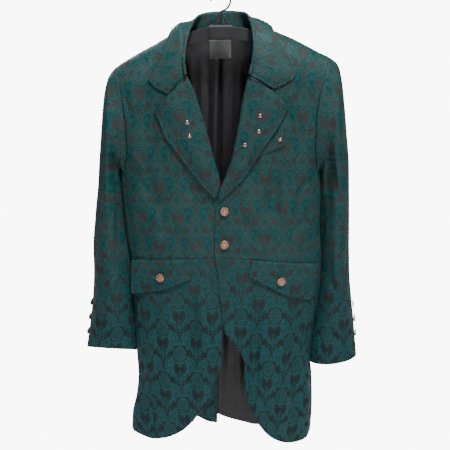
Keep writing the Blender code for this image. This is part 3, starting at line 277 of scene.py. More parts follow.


# %% [markdown]
# The surface's depth is a superellipse, which is flatter in front than an ellipse. It closes to
# nothing at the shoulder line. Large folds are soft ridges and troughs laid over it. The small creases
# are listed one by one further down, because no two creases on a worn jacket are alike.

# %% The garment's surface
def ridge_sum(rows, x, z):
    """Sum of soft ridges (height above zero) and troughs, each along a straight or bent line."""
    total = np.zeros(np.broadcast(x, z).shape)
    bends = rows.get("bend", np.zeros(len(rows["height"])))
    columns = zip(rows["top_x"], rows["top_z"], rows["end_x"], rows["end_z"], rows["width"],
                  rows["height"], bends)
    for top_x, top_z, end_x, end_z, width, height, bend in columns:
        length = math.hypot(end_x - top_x, end_z - top_z)
        way_x, way_z = (end_x - top_x) / length, (end_z - top_z) / length
        down = ((x - top_x) * way_x + (z - top_z) * way_z) / length
        aside = (x - top_x) * way_z - (z - top_z) * way_x
        aside = aside - bend * 4 * down * (1 - down)
        fade = np.exp(-np.clip(np.abs(down - 0.5) / 0.42, 0, 4) ** 4)
        total = total + height * fade * hump(aside, 0, width)
    return total


def half_widths(z):
    """Centre and half width of the level section at heights."""
    right = at_height(SECTIONS, "right", z)
    left = at_height(SECTIONS, "left", z)
    return (right + left) / 2, (left - right) / 2


def closing(x, z):
    """Share of the full depth that is left near the shoulder line: 0 on it, 1 well below."""
    u = np.clip((shoulder_height(x) - z) / SHOULDER_FALL, 0, 1)
    return np.sqrt(np.maximum(0, 1 - (1 - u) ** 2))


def side_fade(across):
    """Folds fade out before the side, where the cloth turns back."""
    return 1 - np.clip((across - 0.86) / 0.12, 0, 1)


def garment(x, z, back=False):
    """Points of the garment's surface over places (x, z), on the front or on the back."""
    x, z = np.broadcast_arrays(np.asarray(x, float), np.asarray(z, float))
    centre, half = half_widths(z)
    across = np.minimum(np.abs(x - centre) / half, 0.9995)
    depth = at_height(SECTIONS, "back" if back else "front", z)
    bulge = (1 - across ** WIDTH_POWER) ** (1 / DEPTH_POWER)
    folds = BACK_FOLDS if back else FRONT_FOLDS
    out = depth * bulge * closing(x, z) + ridge_sum(folds, x, z) * side_fade(across)
    return np.stack([x, out if back else -out, z], axis=-1)


def turned(angle, z):
    """Points of the same surface by their angle round the side: 0 at the side, above 0 in front."""
    angle, z = np.broadcast_arrays(np.asarray(angle, float), np.asarray(z, float))
    side = np.where(np.abs(angle) < math.pi / 2, 1.0, -1.0)
    centre, half = half_widths(z)
    across = np.abs(np.cos(angle)) ** (2 / WIDTH_POWER)
    x = centre + side * half * across
    back = np.sin(angle) < 0
    depth = np.where(back, at_height(SECTIONS, "back", z), at_height(SECTIONS, "front", z))
    folds = np.where(back, ridge_sum(BACK_FOLDS, x, z), ridge_sum(FRONT_FOLDS, x, z))
    out = depth * np.abs(np.sin(angle)) ** (2 / DEPTH_POWER) * closing(x, z) + folds * side_fade(across)
    return np.stack([x, np.where(back, out, -out), z], axis=-1)


def angle_of(x, z):
    """Angle round the side of places on the front, as turned takes it."""
    centre, half = half_widths(z)
    angle = np.arccos(np.minimum(np.abs(x - centre) / half, 1) ** (WIDTH_POWER / 2))
    return np.where(x > centre, angle, math.pi - angle)


def unit(vectors):
    """The vectors at length 1."""
    return vectors / np.maximum(np.linalg.norm(vectors, axis=-1, keepdims=True), 1e-12)


def frame_on(x, z, back=False):
    """Points of the front or back and their outward normals."""
    step = 0.6 * MM
    x, z = np.broadcast_arrays(np.asarray(x, float), np.asarray(z, float))
    point = garment(x, z, back)
    across = garment(x + step, z, back) - garment(x - step, z, back)
    up = garment(x, z + step, back) - garment(x, z - step, back)
    normal = unit(np.cross(across, up))
    hint = np.stack([x * 0.5, np.full(x.shape, 1.0 if back else -1.0), np.full(x.shape, 0.15)], axis=-1)
    normal = normal * np.where(np.sum(normal * hint, axis=-1, keepdims=True) < 0, -1.0, 1.0)
    top = (shoulder_height(x) - z < 0.5 * MM)[..., None]
    level = unit(np.stack([normal[..., 0], np.zeros(x.shape), np.abs(normal[..., 2])], axis=-1))
    return point, np.where(top, level, normal)


print("front at the chest:", np.round(garment(0.05, -0.3) / MM, 1))

# %% [markdown]
# ## Grids between borders
#
# A Coons patch fills four borders with a grid. Its rows and columns lie close together by the edges,
# where cloth is turned and stitched, and about 4 mm apart between them. An even grid as fine as the
# edges need would be far heavier.

# %% Patches
STEP = 4 * MM
EDGE_STEPS = np.array([0, 1.0, 2.2, 3.4, 4.6, 6.2, 8.5]) * MM
STITCH_COLUMN = 4


def close_shares(length, start=True, end=True, step=STEP):
    """Shares of a length, closer together by a finished start or end."""
    head = EDGE_STEPS if start else np.zeros(1)
    tail = length - EDGE_STEPS[::-1] if end else np.array([length])
    count = max(int(round((tail[0] - head[-1]) / step)), 2)
    middle = np.linspace(head[-1], tail[0], count + 1)
    return np.concatenate([head[:-1], middle, tail[1:]]) / length


def patch(top, bottom, inner, outer):
    """Grid of flat places between four borders with shared corners."""
    v = shares_of(outer)[:, None, None]
    u = shares_of(top)[None, :, None]
    level = (1 - v) * top[None] + v * bottom[None]
    upright = (1 - u) * inner[:, None] + u * outer[:, None]
    corners = (1 - u) * (1 - v) * top[0] + u * (1 - v) * top[-1]
    return level + upright - corners - (1 - u) * v * bottom[0] - u * v * bottom[-1]


def drawn_in(grid, amount=SEAM_HALF):
    """Moves a flat grid's border inwards, so that neighbouring panels stay apart at the seam."""
    moved = grid.copy()
    moved[0] += unit(grid[1] - grid[0]) * amount
    moved[-1] += unit(grid[-2] - grid[-1]) * amount
    moved[:, 0] += unit(grid[:, 1] - grid[:, 0]) * amount
    moved[:, -1] += unit(grid[:, -2] - grid[:, -1]) * amount
    return moved


def grid_lengths(points):
    """Running lengths along the rows and down the columns of a grid of points."""
    across = np.linalg.norm(np.diff(points, axis=1), axis=-1)
    down = np.linalg.norm(np.diff(points, axis=0), axis=-1)
    across = np.concatenate([np.zeros((points.shape[0], 1)), np.cumsum(across, axis=1)], axis=1)
    down = np.concatenate([np.zeros((1, points.shape[1])), np.cumsum(down, axis=0)], axis=0)
    return across, down


def grid_normals(points, hint):
    """Unit normals of a grid of points, on the side that hint shows."""
    normals = unit(np.cross(np.gradient(points, axis=0), np.gradient(points, axis=1)))
    return normals if np.sum(normals * hint) > 0 else -normals


# %% [markdown]
# ## What an edge does to cloth
#
# Three things make a panel look sewn. A finished edge is a soft roll with a stitched groove beside
# it. A seam draws the cloth in. Both pucker a little, unevenly. They are small moves along the normal,
# worked out from each point's distance to the panel's borders.

# %% Edges, seams and puckers
ROLL_AT = 2.3 * MM
GROOVE_AT = 4.8 * MM


def pucker(run):
    """Uneven swing between -1 and 1 along a length, the same each time."""
    return (np.sin(run * 520) + 0.7 * np.sin(run * 811 + 1.3) + 0.6 * np.sin(run * 1370 + 4.1)) / 2.3


def edge_relief(distance, run, kind):
    """Height by the distance from a border: a roll and groove, or a drawn-in seam."""
    if kind == "sewn":
        roll = 0.35 * MM * hump(distance, ROLL_AT, 1.5 * MM)
        groove = 0.55 * MM * hump(distance, GROOVE_AT, 1.1 * MM)
        ripple = 0.22 * MM * pucker(run) * hump(distance, 6 * MM, 6 * MM)
        return roll - groove * (1 + 0.3 * pucker(run * 0.61)) + ripple
    dip = 0.9 * MM * hump(distance, 0, 1.6 * MM)
    ripple = 0.3 * MM * pucker(run) * hump(distance, 4 * MM, 6 * MM)
    return ripple - dip


def relief_of(points, kinds):
    """Relief over a grid; kinds are those of its top, bottom, inner and outer borders."""
    across, down = grid_lengths(points)
    reach = {
        "top": (down, across), "bottom": (down[-1:] - down, across),
        "inner": (across, down), "outer": (across[:, -1:] - across, down),
    }
    total = np.zeros(points.shape[:2])
    for name, kind in kinds.items():
        distance, run = reach[name]
        total = total + edge_relief(distance, run, kind)
    return total


def swell(x, z):
    """Very slight unevenness of hanging cloth, the same each time."""
    wave = np.sin(x * 31 + z * 17) + np.sin(x * 57 - z * 23 + 2.0) + 0.7 * np.sin(x * 83 + z * 61 + 0.7)
    return 0.45 * MM * (wave + 0.6 * np.sin(z * 97 - x * 71 + 4.0)) / 3.3


# %% [markdown]
# ## Creases set one by one
#
# The places are read off the real jacket: drag lines below the lapels, a dart on each side of the
# waist, and the long falls of the skirts. The back doesn't show there, so its creases are made up. A
# bend above zero curves a crease to its right, going down.

# %% Tables of creases
CREASE_COLUMNS = FOLD_COLUMNS + " bend"
FRONT_CREASES = table(CREASE_COLUMNS, [
    (-121, -392, -119, -505, 2.4, -1.3, 1), (111, -415, 110, -512, 2.4, -1.3, -1),
    (-84, -318, -38, -418, 6, -1.8, 6), (-58, -372, -30, -470, 5, 1.6, -4),
    (-100, -330, -128, -392, 7, -1.0, 5), (-168, -360, -140, -430, 8, -1.4, -7),
    (-182, -420, -120, -470, 7, -1.2, 6), (-178, -300, -150, -345, 7, 1.3, 4),
    (-196, -180, -170, -260, 6, -1.3, -3), (-60, -480, -20, -520, 6, -1.1, 3),
    (30, -440, 84, -500, 7, -1.2, -5), (22, -505, 70, -524, 5, -1.0, 3),
    (88, -300, 78, -400, 6, 1.7, 4), (126, -300, 120, -420, 7, 1.8, -4),
    (140, -200, 168, -300, 7, -1.5, 6), (178, -160, 160, -240, 6, 1.4, 4),
    (100, -196, 140, -178, 5, -0.9, 2), (186, -360, 150, -410, 7, -1.5, 6),
    (190, -430, 140, -470, 8, -1.3, -6), (60, -380, 40, -460, 6, -1.2, 5),
    (-22, -560, -12, -700, 6, -1.3, 3), (-52, -580, -46, -740, 8, 1.6, -5),
    (-96, -640, -104, -860, 7, -1.7, 6), (-150, -620, -142, -800, 8, -1.6, -5),
    (-116, -700, -122, -930, 6, 1.4, -4), (-30, -760, -52, -880, 6, 1.3, 4),
    (-70, -820, -84, -925, 5, -1.2, 3), (-160, -780, -150, -940, 6, 1.4, 5),
    (20, -560, 34, -690, 7, -1.4, 4), (50, -590, 56, -740, 8, 1.5, -4),
    (98, -620, 88, -820, 6, 1.5, 5), (114, -640, 122, -900, 6, -1.6, -6),
    (152, -630, 158, -860, 7, -1.5, 4), (184, -620, 180, -800, 6, 1.3, -4),
    (66, -780, 84, -900, 6, -1.4, 4), (140, -840, 146, -968, 6, 1.3, -3),
    (104, -860, 112, -948, 5, -1.2, 3), (112, -350, 106, -440, 13, -3.0, 3),
    (146, -350, 132, -450, 12, 2.2, -4), (62, -430, 68, -490, 12, -2.4, 4),
    (-146, -320, -124, -430, 13, -2.6, 5), (-74, -440, -62, -505, 12, 2.0, -3),
    (-130, -690, -140, -920, 13, -3.0, 4), (-84, -710, -94, -930, 13, 2.6, -3),
    (72, -700, 82, -880, 13, -3.0, 4), (128, -710, 134, -950, 14, 2.8, -4),
    (166, -700, 168, -920, 11, -2.6, 3),
])
BACK_CREASES = table(CREASE_COLUMNS, [
    (-60, -118, -120, -150, 8, -1.6, 5), (70, -112, 128, -142, 8, -1.5, -5),
    (-150, -200, -120, -330, 9, 1.8, 8), (146, -190, 112, -310, 8, -1.7, -7),
    (-168, -320, -110, -420, 8, -1.5, 6), (170, -300, 120, -400, 9, 1.6, -8),
    (-40, -300, -52, -470, 10, 1.3, 4), (30, -260, 46, -430, 9, -1.4, 5),
    (-100, -440, -30, -490, 8, -1.6, 5), (110, -450, 36, -505, 8, -1.5, -6),
    (-140, -470, -70, -520, 7, 1.2, 4), (60, -580, 66, -760, 9, -1.9, 6),
    (-54, -570, -62, -780, 9, 1.8, -6), (110, -600, 122, -860, 9, 1.9, 7),
    (-108, -610, -118, -850, 9, -2.0, -7), (24, -640, 20, -900, 7, -1.5, 4),
    (-26, -660, -24, -920, 7, 1.4, 3), (84, -800, 92, -960, 7, -1.5, -4),
    (-88, -820, -96, -950, 7, 1.5, 4),
])
print("creases in front and behind:", len(FRONT_CREASES["height"]), len(BACK_CREASES["height"]))


def creased(x, z, back=False):
    """Height of the listed creases and the slight swell at places on the front or back."""
    rows = BACK_CREASES if back else FRONT_CREASES
    centre, half = half_widths(z)
    fade = side_fade(np.minimum(np.abs(x - centre) / half, 1))
    return (ridge_sum(rows, x, z) + swell(x, z)) * fade


# %% [markdown]
# ## The brocade
#
# The weave repeats on a half-drop lattice, as most damasks do: a column of figures, and the next
# column half a repeat lower. You could paint such a cloth as a picture. Here it is charted with math
# nodes, so it stays sharp at any distance and costs no memory.
#
# Each figure is a distance: below zero inside the figure, above zero outside. The least of several
# distances joins figures, and a narrow band of a distance is an outline. `Wire` lets such sums be
# written as plain arithmetic, and every operation lays one math node.

# %% A helper that lays math nodes
class Wire:
    """A value in a node tree; arithmetic on it lays the nodes that work it out."""

    def __init__(self, tree, socket):
        self.tree = tree
        self.socket = socket

    def math(self, operation, *others):
        node = self.tree.nodes.new("ShaderNodeMath")
        node.operation = operation
        count = len(self.tree.nodes)
        node.location = (170 * (count // 14) - 600, 160 * (count % 14) - 1100)
        for i, value in enumerate((self,) + others):
            if isinstance(value, Wire):
                self.tree.links.new(value.socket, node.inputs[i])
            else:
                node.inputs[i].default_value = float(value)
        return Wire(self.tree, node.outputs[0])

    def within(self, low, high):
        return self.most(low).least(high)

    def wrapped(self, half):
        return self.math("WRAP", half, -half)


OPERATIONS = {
    "__add__": "ADD", "__sub__": "SUBTRACT", "__mul__": "MULTIPLY", "__truediv__": "DIVIDE",
    "__abs__": "ABSOLUTE", "least": "MINIMUM", "most": "MAXIMUM", "sine": "SINE", "cosine": "COSINE",
    "above": "GREATER_THAN", "sign": "SIGN", "power": "POWER", "turn_of": "ARCTAN2",
}


def method_for(operation):
    """A method of Wire that lays one math node of a given operation."""
    def method(wire, *others):
        return wire.math(operation, *others)
    return method


for name, operation in OPERATIONS.items():
    setattr(Wire, name, method_for(operation))


def hypot(a, b):
    """Length of the step (a, b)."""
    return (a * a + b * b).math("SQRT")


def soft_edge(distance, blur):
    """1 where a distance is below zero, 0 above, with a soft step of width blur between."""
    return (distance / -blur + 0.5).within(0, 1)


# %% [markdown]
# The lattice is 77 mm across and 126 mm down. A rhombus test finds the nearest star of the half-drop
# lattice. A pair of paisleys hangs below each star, and their tails end above the next two stars. A
# rosette fills the place between four stars. Taking the absolute value mirrors each figure for nothing.
# The ground between the figures is filled with small scales, which sit on a lattice of the same kind.
#
# All numbers of the chart below are millimetres on the cloth, or pure factors.

# %% The figures of the brocade
HALF_ACROSS = 38.5
HALF_DOWN = 63.0
SCALE_ACROSS = 5.1
SCALE_DOWN = 4.2
LINE_BLUR = 0.9


def nearest_cell(x, y, half_across=HALF_ACROSS, half_down=HALF_DOWN):
    """Place relative to the nearest point of a half-drop lattice."""
    cx = x.wrapped(half_across)
    cy = y.wrapped(half_down)
    past = (abs(cx) / half_across + abs(cy) / half_down).above(1)
    return cx - cx.sign() * past * half_across, cy - cy.sign() * past * half_down


def paisley(x, y, tail, head, bend, small, large):
    """Distances to a bent drop from its tail to its round head, and the step from its head's centre."""
    length = math.hypot(head[0] - tail[0], head[1] - tail[1])
    way = ((head[0] - tail[0]) / length, (head[1] - tail[1]) / length)
    dx = x - tail[0]
    dy = y - tail[1]
    run = dx * way[0] + dy * way[1]
    share = (run / length).within(0, 1)
    aside = dy * way[0] - dx * way[1]
    bent = aside - (share * math.pi).sine() * bend
    radius = share.power(1.15) * (large - small) + small
    distance = hypot(run - share * length, bent) - radius
    return distance, x - head[0], y - head[1]


def paisley_figure(x, y):
    """Distances to one paisley's body and to the lines on it, by the place from its middle."""
    drop, hx, hy = paisley(x, y, (11.5, -21.5), (-3.0, 6.0), 6.5, 0.8, 13.2)
    frill = (hy.turn_of(hx) * 17).cosine() * 0.6
    drop = drop - frill
    inner = abs(drop + 2.9) - 0.45
    second = abs(drop + 5.4) - 0.35
    seed = curl(hx, hy, 6.0, 4.9)
    tip = abs(hypot(x - 9.0, y + 24.5) - 3.2) - 0.9
    return drop, inner.least(seed).least(second), tip


def curl(dx, dy, size, pitch):
    """Distance to the line of a spiral that winds inside a circle of a given size."""
    radius = hypot(dx, dy)
    swing = (radius * (2 * math.pi / pitch) - dy.turn_of(dx)).sine()
    return (swing * -1.4).most(radius - size)


def figures(x, y):
    """Distances to the brocade's bodies, to the lines drawn on them and to those on the ground."""
    cx, cy = nearest_cell(x, y)
    radius = hypot(cx, cy)
    star = radius - (abs((cy.turn_of(cx) * 2).cosine()).power(1.2) * 7.6 + 3.6)
    eye = abs(radius - 2.6) - 0.55
    knob = hypot(abs(cx) - 8.0, abs(cy) - 10.0) - 2.3
    sprig = hypot(cx * 1.2, abs(cy) - 15.5) - 2.4
    right_x, right_y = nearest_cell(x - HALF_ACROSS / 2, y + HALF_DOWN / 2)
    left_x, left_y = nearest_cell(x + HALF_ACROSS / 2, y + HALF_DOWN / 2)
    drop, inner, tip = paisley_figure(right_x, right_y)
    mirrored, mirrored_inner, mirrored_tip = paisley_figure(left_x * -1, left_y)
    bx, by = nearest_cell(x, y + HALF_DOWN)
    px = abs(bx)
    py = abs(by)
    spread = hypot(px * 1.05, by * 0.9 + px * 0.12)
    around = py.turn_of(px)
    edge = spread - ((around * 12).cosine() * 1.2 + 15.0)
    fans = ((spread - (around * 12).cosine() * 0.7) * (2 * math.pi / 4.6) + 2.2).sine() * -1.1
    rings = fans.most(edge).most(spread * -1 + 6.4)
    bloom = spread - (abs((around * 3).cosine()) * 3.0 + 3.0)
    scroll = curl(px - 18.5, py - 11.0, 4.4, 3.8)
    bud = hypot(px * 1.2, py - 24.0) - 4.2
    leaf = hypot((px - 7.0) * 0.9 - (py - 22.0) * 0.4, (py - 22.0) * 0.8 + (px - 7.0) * 0.3) - 2.8
    stem = abs(px - 2.6 - (py * 0.35).sine() * 1.4).most(abs(py - 24.0) - 8.5) - 0.5
    bodies = star.least(drop).least(mirrored).least(knob).least(bloom).least(bud).least(leaf).least(sprig)
    lines = eye.least(inner).least(mirrored_inner)
    loops = tip.least(mirrored_tip).least(scroll).least(rings).least(stem)
    return bodies, lines, loops


def brocade_group():
    """Shader group: place on the cloth in metres to figure, outline and small filling, each 0 to 1."""
    tree = bpy.data.node_groups.new("Paisley damask", "ShaderNodeTree")
    tree.interface.new_socket("Cloth", in_out="INPUT", socket_type="NodeSocketVector")
    for name in ("Figure", "Outline", "Filling"):
        tree.interface.new_socket(name, in_out="OUTPUT", socket_type="NodeSocketFloat")
    enter = tree.nodes.new("NodeGroupInput")
    leave = tree.nodes.new("NodeGroupOutput")
    apart = tree.nodes.new("ShaderNodeSeparateXYZ")
    tree.links.new(enter.outputs["Cloth"], apart.inputs[0])
    x = Wire(tree, apart.outputs[0]) * 1000
    y = Wire(tree, apart.outputs[1]) * 1000
    bodies, lines, loops = figures(x, y)
    body = soft_edge(bodies, LINE_BLUR)
    outline = soft_edge(abs(bodies + 0.9) - 0.75, 0.8).most(soft_edge(lines, LINE_BLUR) * body)
    outline = outline.most(soft_edge(loops, LINE_BLUR))
    ground = soft_edge(bodies * -1 + 1.6, 1.0)
    dot_x = (x + y * 0.5).wrapped(2.6)
    dot_y = y.wrapped(2.6)
    dots = soft_edge(hypot(dot_x, dot_y) - 1.15, LINE_BLUR)
    echo = soft_edge(abs(bodies - 2.4) - 0.5, 0.8).most(soft_edge(abs(bodies - 5.0) - 0.45, 0.8) * 0.8)
    scale_x, scale_y = nearest_cell(x, y, SCALE_ACROSS, SCALE_DOWN)
    scales = soft_edge(abs(hypot(scale_x, scale_y * 1.25) - 4.4) - 0.45, 0.8)
    scales = scales.least(soft_edge(scale_y, 1.0))
    filling = ground * (dots * 0.45).most(echo).most(scales * 0.9)
    figure = body.most(soft_edge(loops, LINE_BLUR))
    for name, wire in (("Figure", figure), ("Outline", outline), ("Filling", filling)):
        tree.links.new(wire.socket, leave.inputs[name])
    print("nodes in the damask group:", len(tree.nodes))
    return tree


# %% [markdown]
# ## Materials
#
# A finish is a Principled shader fed by masks. The teal figures are a smooth satin weave and the grey
# ground is a dull one, so both colour and roughness follow the figure mask. A second mask by height
# paints shade into both: darker and bluer towards the hem, as if less light fell there. Constants such
# as sheen are set on the shader's own sockets.

# %% Material helpers
def new_material(name, colour, roughness, metallic=0.0, sheen=0.0):
    """A material with a Principled shader; colour is linear red, green and blue."""
    made = bpy.data.materials.new(name)
    made.use_nodes = True
    shader = made.node_tree.nodes["Principled BSDF"]
    shader.inputs["Base Color"].default_value = (*colour, 1)
    shader.inputs["Roughness"].default_value = roughness
    shader.inputs["Metallic"].default_value = metallic
    shader.inputs["Sheen Weight"].default_value = sheen
    shader.inputs["Sheen Roughness"].default_value = 0.4
    return made, made.node_tree, shader


def mix_colour(tree, factor, first, second):
    """A colour mixed from two, each a constant or a socket."""
    node = tree.nodes.new("ShaderNodeMix")
    node.data_type = "RGBA"
    tree.links.new(factor, node.inputs["Factor"])
    for name, value in (("A", first), ("B", second)):
        socket = [s for s in node.inputs if s.name == name and s.type == "RGBA"][0]
        if isinstance(value, tuple):
            socket.default_value = (*value, 1)
        else:
            tree.links.new(value, socket)
    return [s for s in node.outputs if s.type == "RGBA"][0]


def noise_mask(tree, coordinates, scale, detail, low, high):
    """A noise value spread to a low and a high limit."""
    noise = tree.nodes.new("ShaderNodeTexNoise")
    noise.inputs["Scale"].default_value = scale
    noise.inputs["Detail"].default_value = detail
    tree.links.new(coordinates, noise.inputs["Vector"])
    spread = tree.nodes.new("ShaderNodeMapRange")
    spread.inputs["From Min"].default_value = 0.3
    spread.inputs["From Max"].default_value = 0.7
    spread.inputs["To Min"].default_value = low
    spread.inputs["To Max"].default_value = high
    tree.links.new(noise.outputs["Fac"], spread.inputs["Value"])
    return spread.outputs[0]


def add_bump(tree, shader, height, distance, strength):
    """Bump from a height value, into the shader's normal."""
    bump = tree.nodes.new("ShaderNodeBump")
    bump.inputs["Distance"].default_value = distance
    bump.inputs["Strength"].default_value = strength
    tree.links.new(height, bump.inputs["Height"])
    tree.links.new(bump.outputs["Normal"], shader.inputs["Normal"])


def twill_lines(tree, place, scale, distortion=0.0):
    """Fine slanting lines of a twill, as a height from 0 to 1."""
    twill = tree.nodes.new("ShaderNodeTexWave")
    twill.bands_direction = "DIAGONAL"
    twill.inputs["Scale"].default_value = scale
    twill.inputs["Distortion"].default_value = distortion
    tree.links.new(place, twill.inputs["Vector"])
    return twill.outputs["Fac"]


def cloth_place(tree):
    """Place on the cloth in metres, from the piece's own UV map."""
    node = tree.nodes.new("ShaderNodeUVMap")
    node.uv_map = "Cloth"
    return node.outputs["UV"]


def object_place(tree):
    """Object coordinates."""
    return tree.nodes.new("ShaderNodeTexCoord").outputs["Object"]


# %% The brocade's material
# The hem colours, with the height where they start and the span over which they grow, are painted shade
# towards the hem.
GROUND = (0.024, 0.0245, 0.0235)
GROUND_LIGHT = (0.044, 0.044, 0.041)
GROUND_HEM_SHADE = (0.008, 0.011, 0.014)
TEAL = (0.0025, 0.040, 0.041)
TEAL_HEM_SHADE = (0.003, 0.042, 0.056)
TEAL_BRIGHT = (0.006, 0.092, 0.090)
HEM_SHADE_START = 0.5
HEM_SHADE_SPAN = 0.2


def make_brocade():
    """Woven brocade: satin figures on a dull ground, with a fine twill over both."""
    made, tree, shader = new_material("Brocade", TEAL, 0.6, sheen=0.03)
    place = cloth_place(tree)
    damask = tree.nodes.new("ShaderNodeGroup")
    damask.node_tree = brocade_group()
    tree.links.new(place, damask.inputs["Cloth"])
    figure, outline, filling = (Wire(tree, damask.outputs[i]) for i in range(3))
    uneven = noise_mask(tree, place, 26, 3, 0, 1)
    # Painted shade: a mask from 0 to 1 down the jacket by height turns ground and teal darker and bluer
    # towards the hem.
    apart = tree.nodes.new("ShaderNodeSeparateXYZ")
    tree.links.new(object_place(tree), apart.inputs[0])
    below = Wire(tree, apart.outputs[2]) * (-1 / HEM_SHADE_SPAN) - HEM_SHADE_START / HEM_SHADE_SPAN
    low = below.within(0, 1).socket
    ground = mix_colour(tree, low, mix_colour(tree, uneven, GROUND, GROUND_LIGHT), GROUND_HEM_SHADE)
    dusted = mix_colour(tree, (filling * 0.45).socket, ground, TEAL_BRIGHT)
    satin = mix_colour(tree, low, TEAL, TEAL_HEM_SHADE)
    body = mix_colour(tree, (figure * 0.92).socket, dusted, satin)
    drawn = mix_colour(tree, (outline * 0.85).socket, body, TEAL_BRIGHT)
    tree.links.new(drawn, shader.inputs["Base Color"])
    tree.links.new((figure * -0.16 + 0.66).socket, shader.inputs["Roughness"])
    twill = Wire(tree, twill_lines(tree, place, 420, 1.5))
    height = figure * 0.55 + outline * 0.35 + twill * 0.25
    add_bump(tree, shader, height.socket, 0.35 * MM, 0.8)
    shader.inputs["Specular IOR Level"].default_value = 0.25
    return made


brocade = make_brocade()

# %% The plain materials
def make_lining():
    """Dark satin lining with a soft uneven gloss."""
    made, tree, shader = new_material("Satin lining", (0.0075, 0.0065, 0.0095), 0.42, sheen=0.2)
    place = cloth_place(tree)
    tree.links.new(noise_mask(tree, place, 40, 2, 0.36, 0.52), shader.inputs["Roughness"])
    add_bump(tree, shader, twill_lines(tree, place, 600), 0.1 * MM, 0.3)
    return made


def make_label_weave():
    """Grey taffeta for the neck label, with threads that differ slightly in tone."""
    made, tree, shader = new_material("Label weave", (0.12, 0.125, 0.12), 0.8)
    place = cloth_place(tree)
    fine = noise_mask(tree, place, 900, 1, 0.0, 1.0)
    colour = mix_colour(tree, fine, (0.10, 0.105, 0.10), (0.16, 0.165, 0.155))
    tree.links.new(colour, shader.inputs["Base Color"])
    add_bump(tree, shader, fine, 0.15 * MM, 0.6)
    return made


def make_copper():
    """Aged copper: bright on raised parts, brown in the engraved ones."""
    made, tree, shader = new_material("Aged copper", (0.5, 0.27, 0.19), 0.35, metallic=1.0)
    sunk = tree.nodes.new("ShaderNodeAttribute")
    sunk.attribute_name = "sunk"
    place = object_place(tree)
    aged = Wire(tree, noise_mask(tree, place, 700, 3, -0.15, 0.3))
    shade = (Wire(tree, sunk.outputs["Fac"]) + aged).within(0, 1)
    colour = mix_colour(tree, shade.socket, (0.66, 0.38, 0.28), (0.13, 0.055, 0.035))
    tree.links.new(colour, shader.inputs["Base Color"])
    tree.links.new((shade * 0.3 + 0.28).socket, shader.inputs["Roughness"])
    return made


def make_plain(name, colour, roughness, metallic, scale):
    """A hard finish with slight scuffs in its gloss."""
    made, tree, shader = new_material(name, colour, roughness, metallic)
    place = object_place(tree)
    low, high = roughness - 0.07, roughness + 0.1
    tree.links.new(noise_mask(tree, place, scale, 4, low, high), shader.inputs["Roughness"])
    pits = noise_mask(tree, place, scale * 9, 2, 0, 1)
    add_bump(tree, shader, pits, 0.08 * MM, 0.35)
    return made


lining = make_lining()
label_weave = make_label_weave()
copper = make_copper()
plastic = make_plain("Moulded plastic", (0.022, 0.023, 0.025), 0.42, 0.0, 120)
steel = make_plain("Dark wire", (0.09, 0.09, 0.095), 0.5, 1.0, 200)
thread = make_plain("Sewing thread", (0.008, 0.05, 0.055), 0.7, 0.0, 900)
print("materials:", len(bpy.data.materials))

# %% [markdown]
# ## From a grid to a piece of cloth
#
# `shell` gives a grid its wall. Solidify could do it, but a garment's wall is thinner at a rolled edge
# than inside, its edge is round, and its inner side is lined. So the inner layer, a rounded edge and a
# second material are laid directly. The UV map is in metres along the cloth, which keeps the weave's
# scale true on every piece.

# %% Shells
PIECES = {}
SHEETS = []


def new_object(name, data):
    """An object that shows its data, linked to the scene."""
    made = bpy.data.objects.new(name, data)
    bpy.context.scene.collection.objects.link(made)
    return made


def add_mesh(name, points, faces, finishes):
    """A smooth mesh piece from points and faces, with its finishes."""
    mesh = bpy.data.meshes.new(name)
    mesh.from_pydata([tuple(p) for p in points], [], faces)
    mesh.update()
    made = new_object(name, mesh)
    for finish in finishes:
        mesh.materials.append(finish)
    mesh.shade_smooth()
    return made


def cloth_map(points, straight=True):
    """Place on the flat cloth of each point of a grid: metres across and up."""
    across = grid_lengths(points)[0]
    down = grid_lengths(points[..., 1:])[1]
    way = np.sign(points[0, -1, 0] - points[0, 0, 0]) if straight else 1.0
    across = across * (way or 1.0)
    if straight:
        across = across + points[:, :1, 0]
    return np.stack([across, points[:1, :, 2] - down], axis=-1)


def border_of(rows, columns):
    """Row and column of each point round the edge of a grid, in order."""
    top = [(0, c) for c in range(columns)]
    right = [(r, columns - 1) for r in range(1, rows)]
    bottom = [(rows - 1, c) for c in range(columns - 2, -1, -1)]
    left = [(r, 0) for r in range(rows - 2, 0, -1)]
    return np.array(top + right + bottom + left)


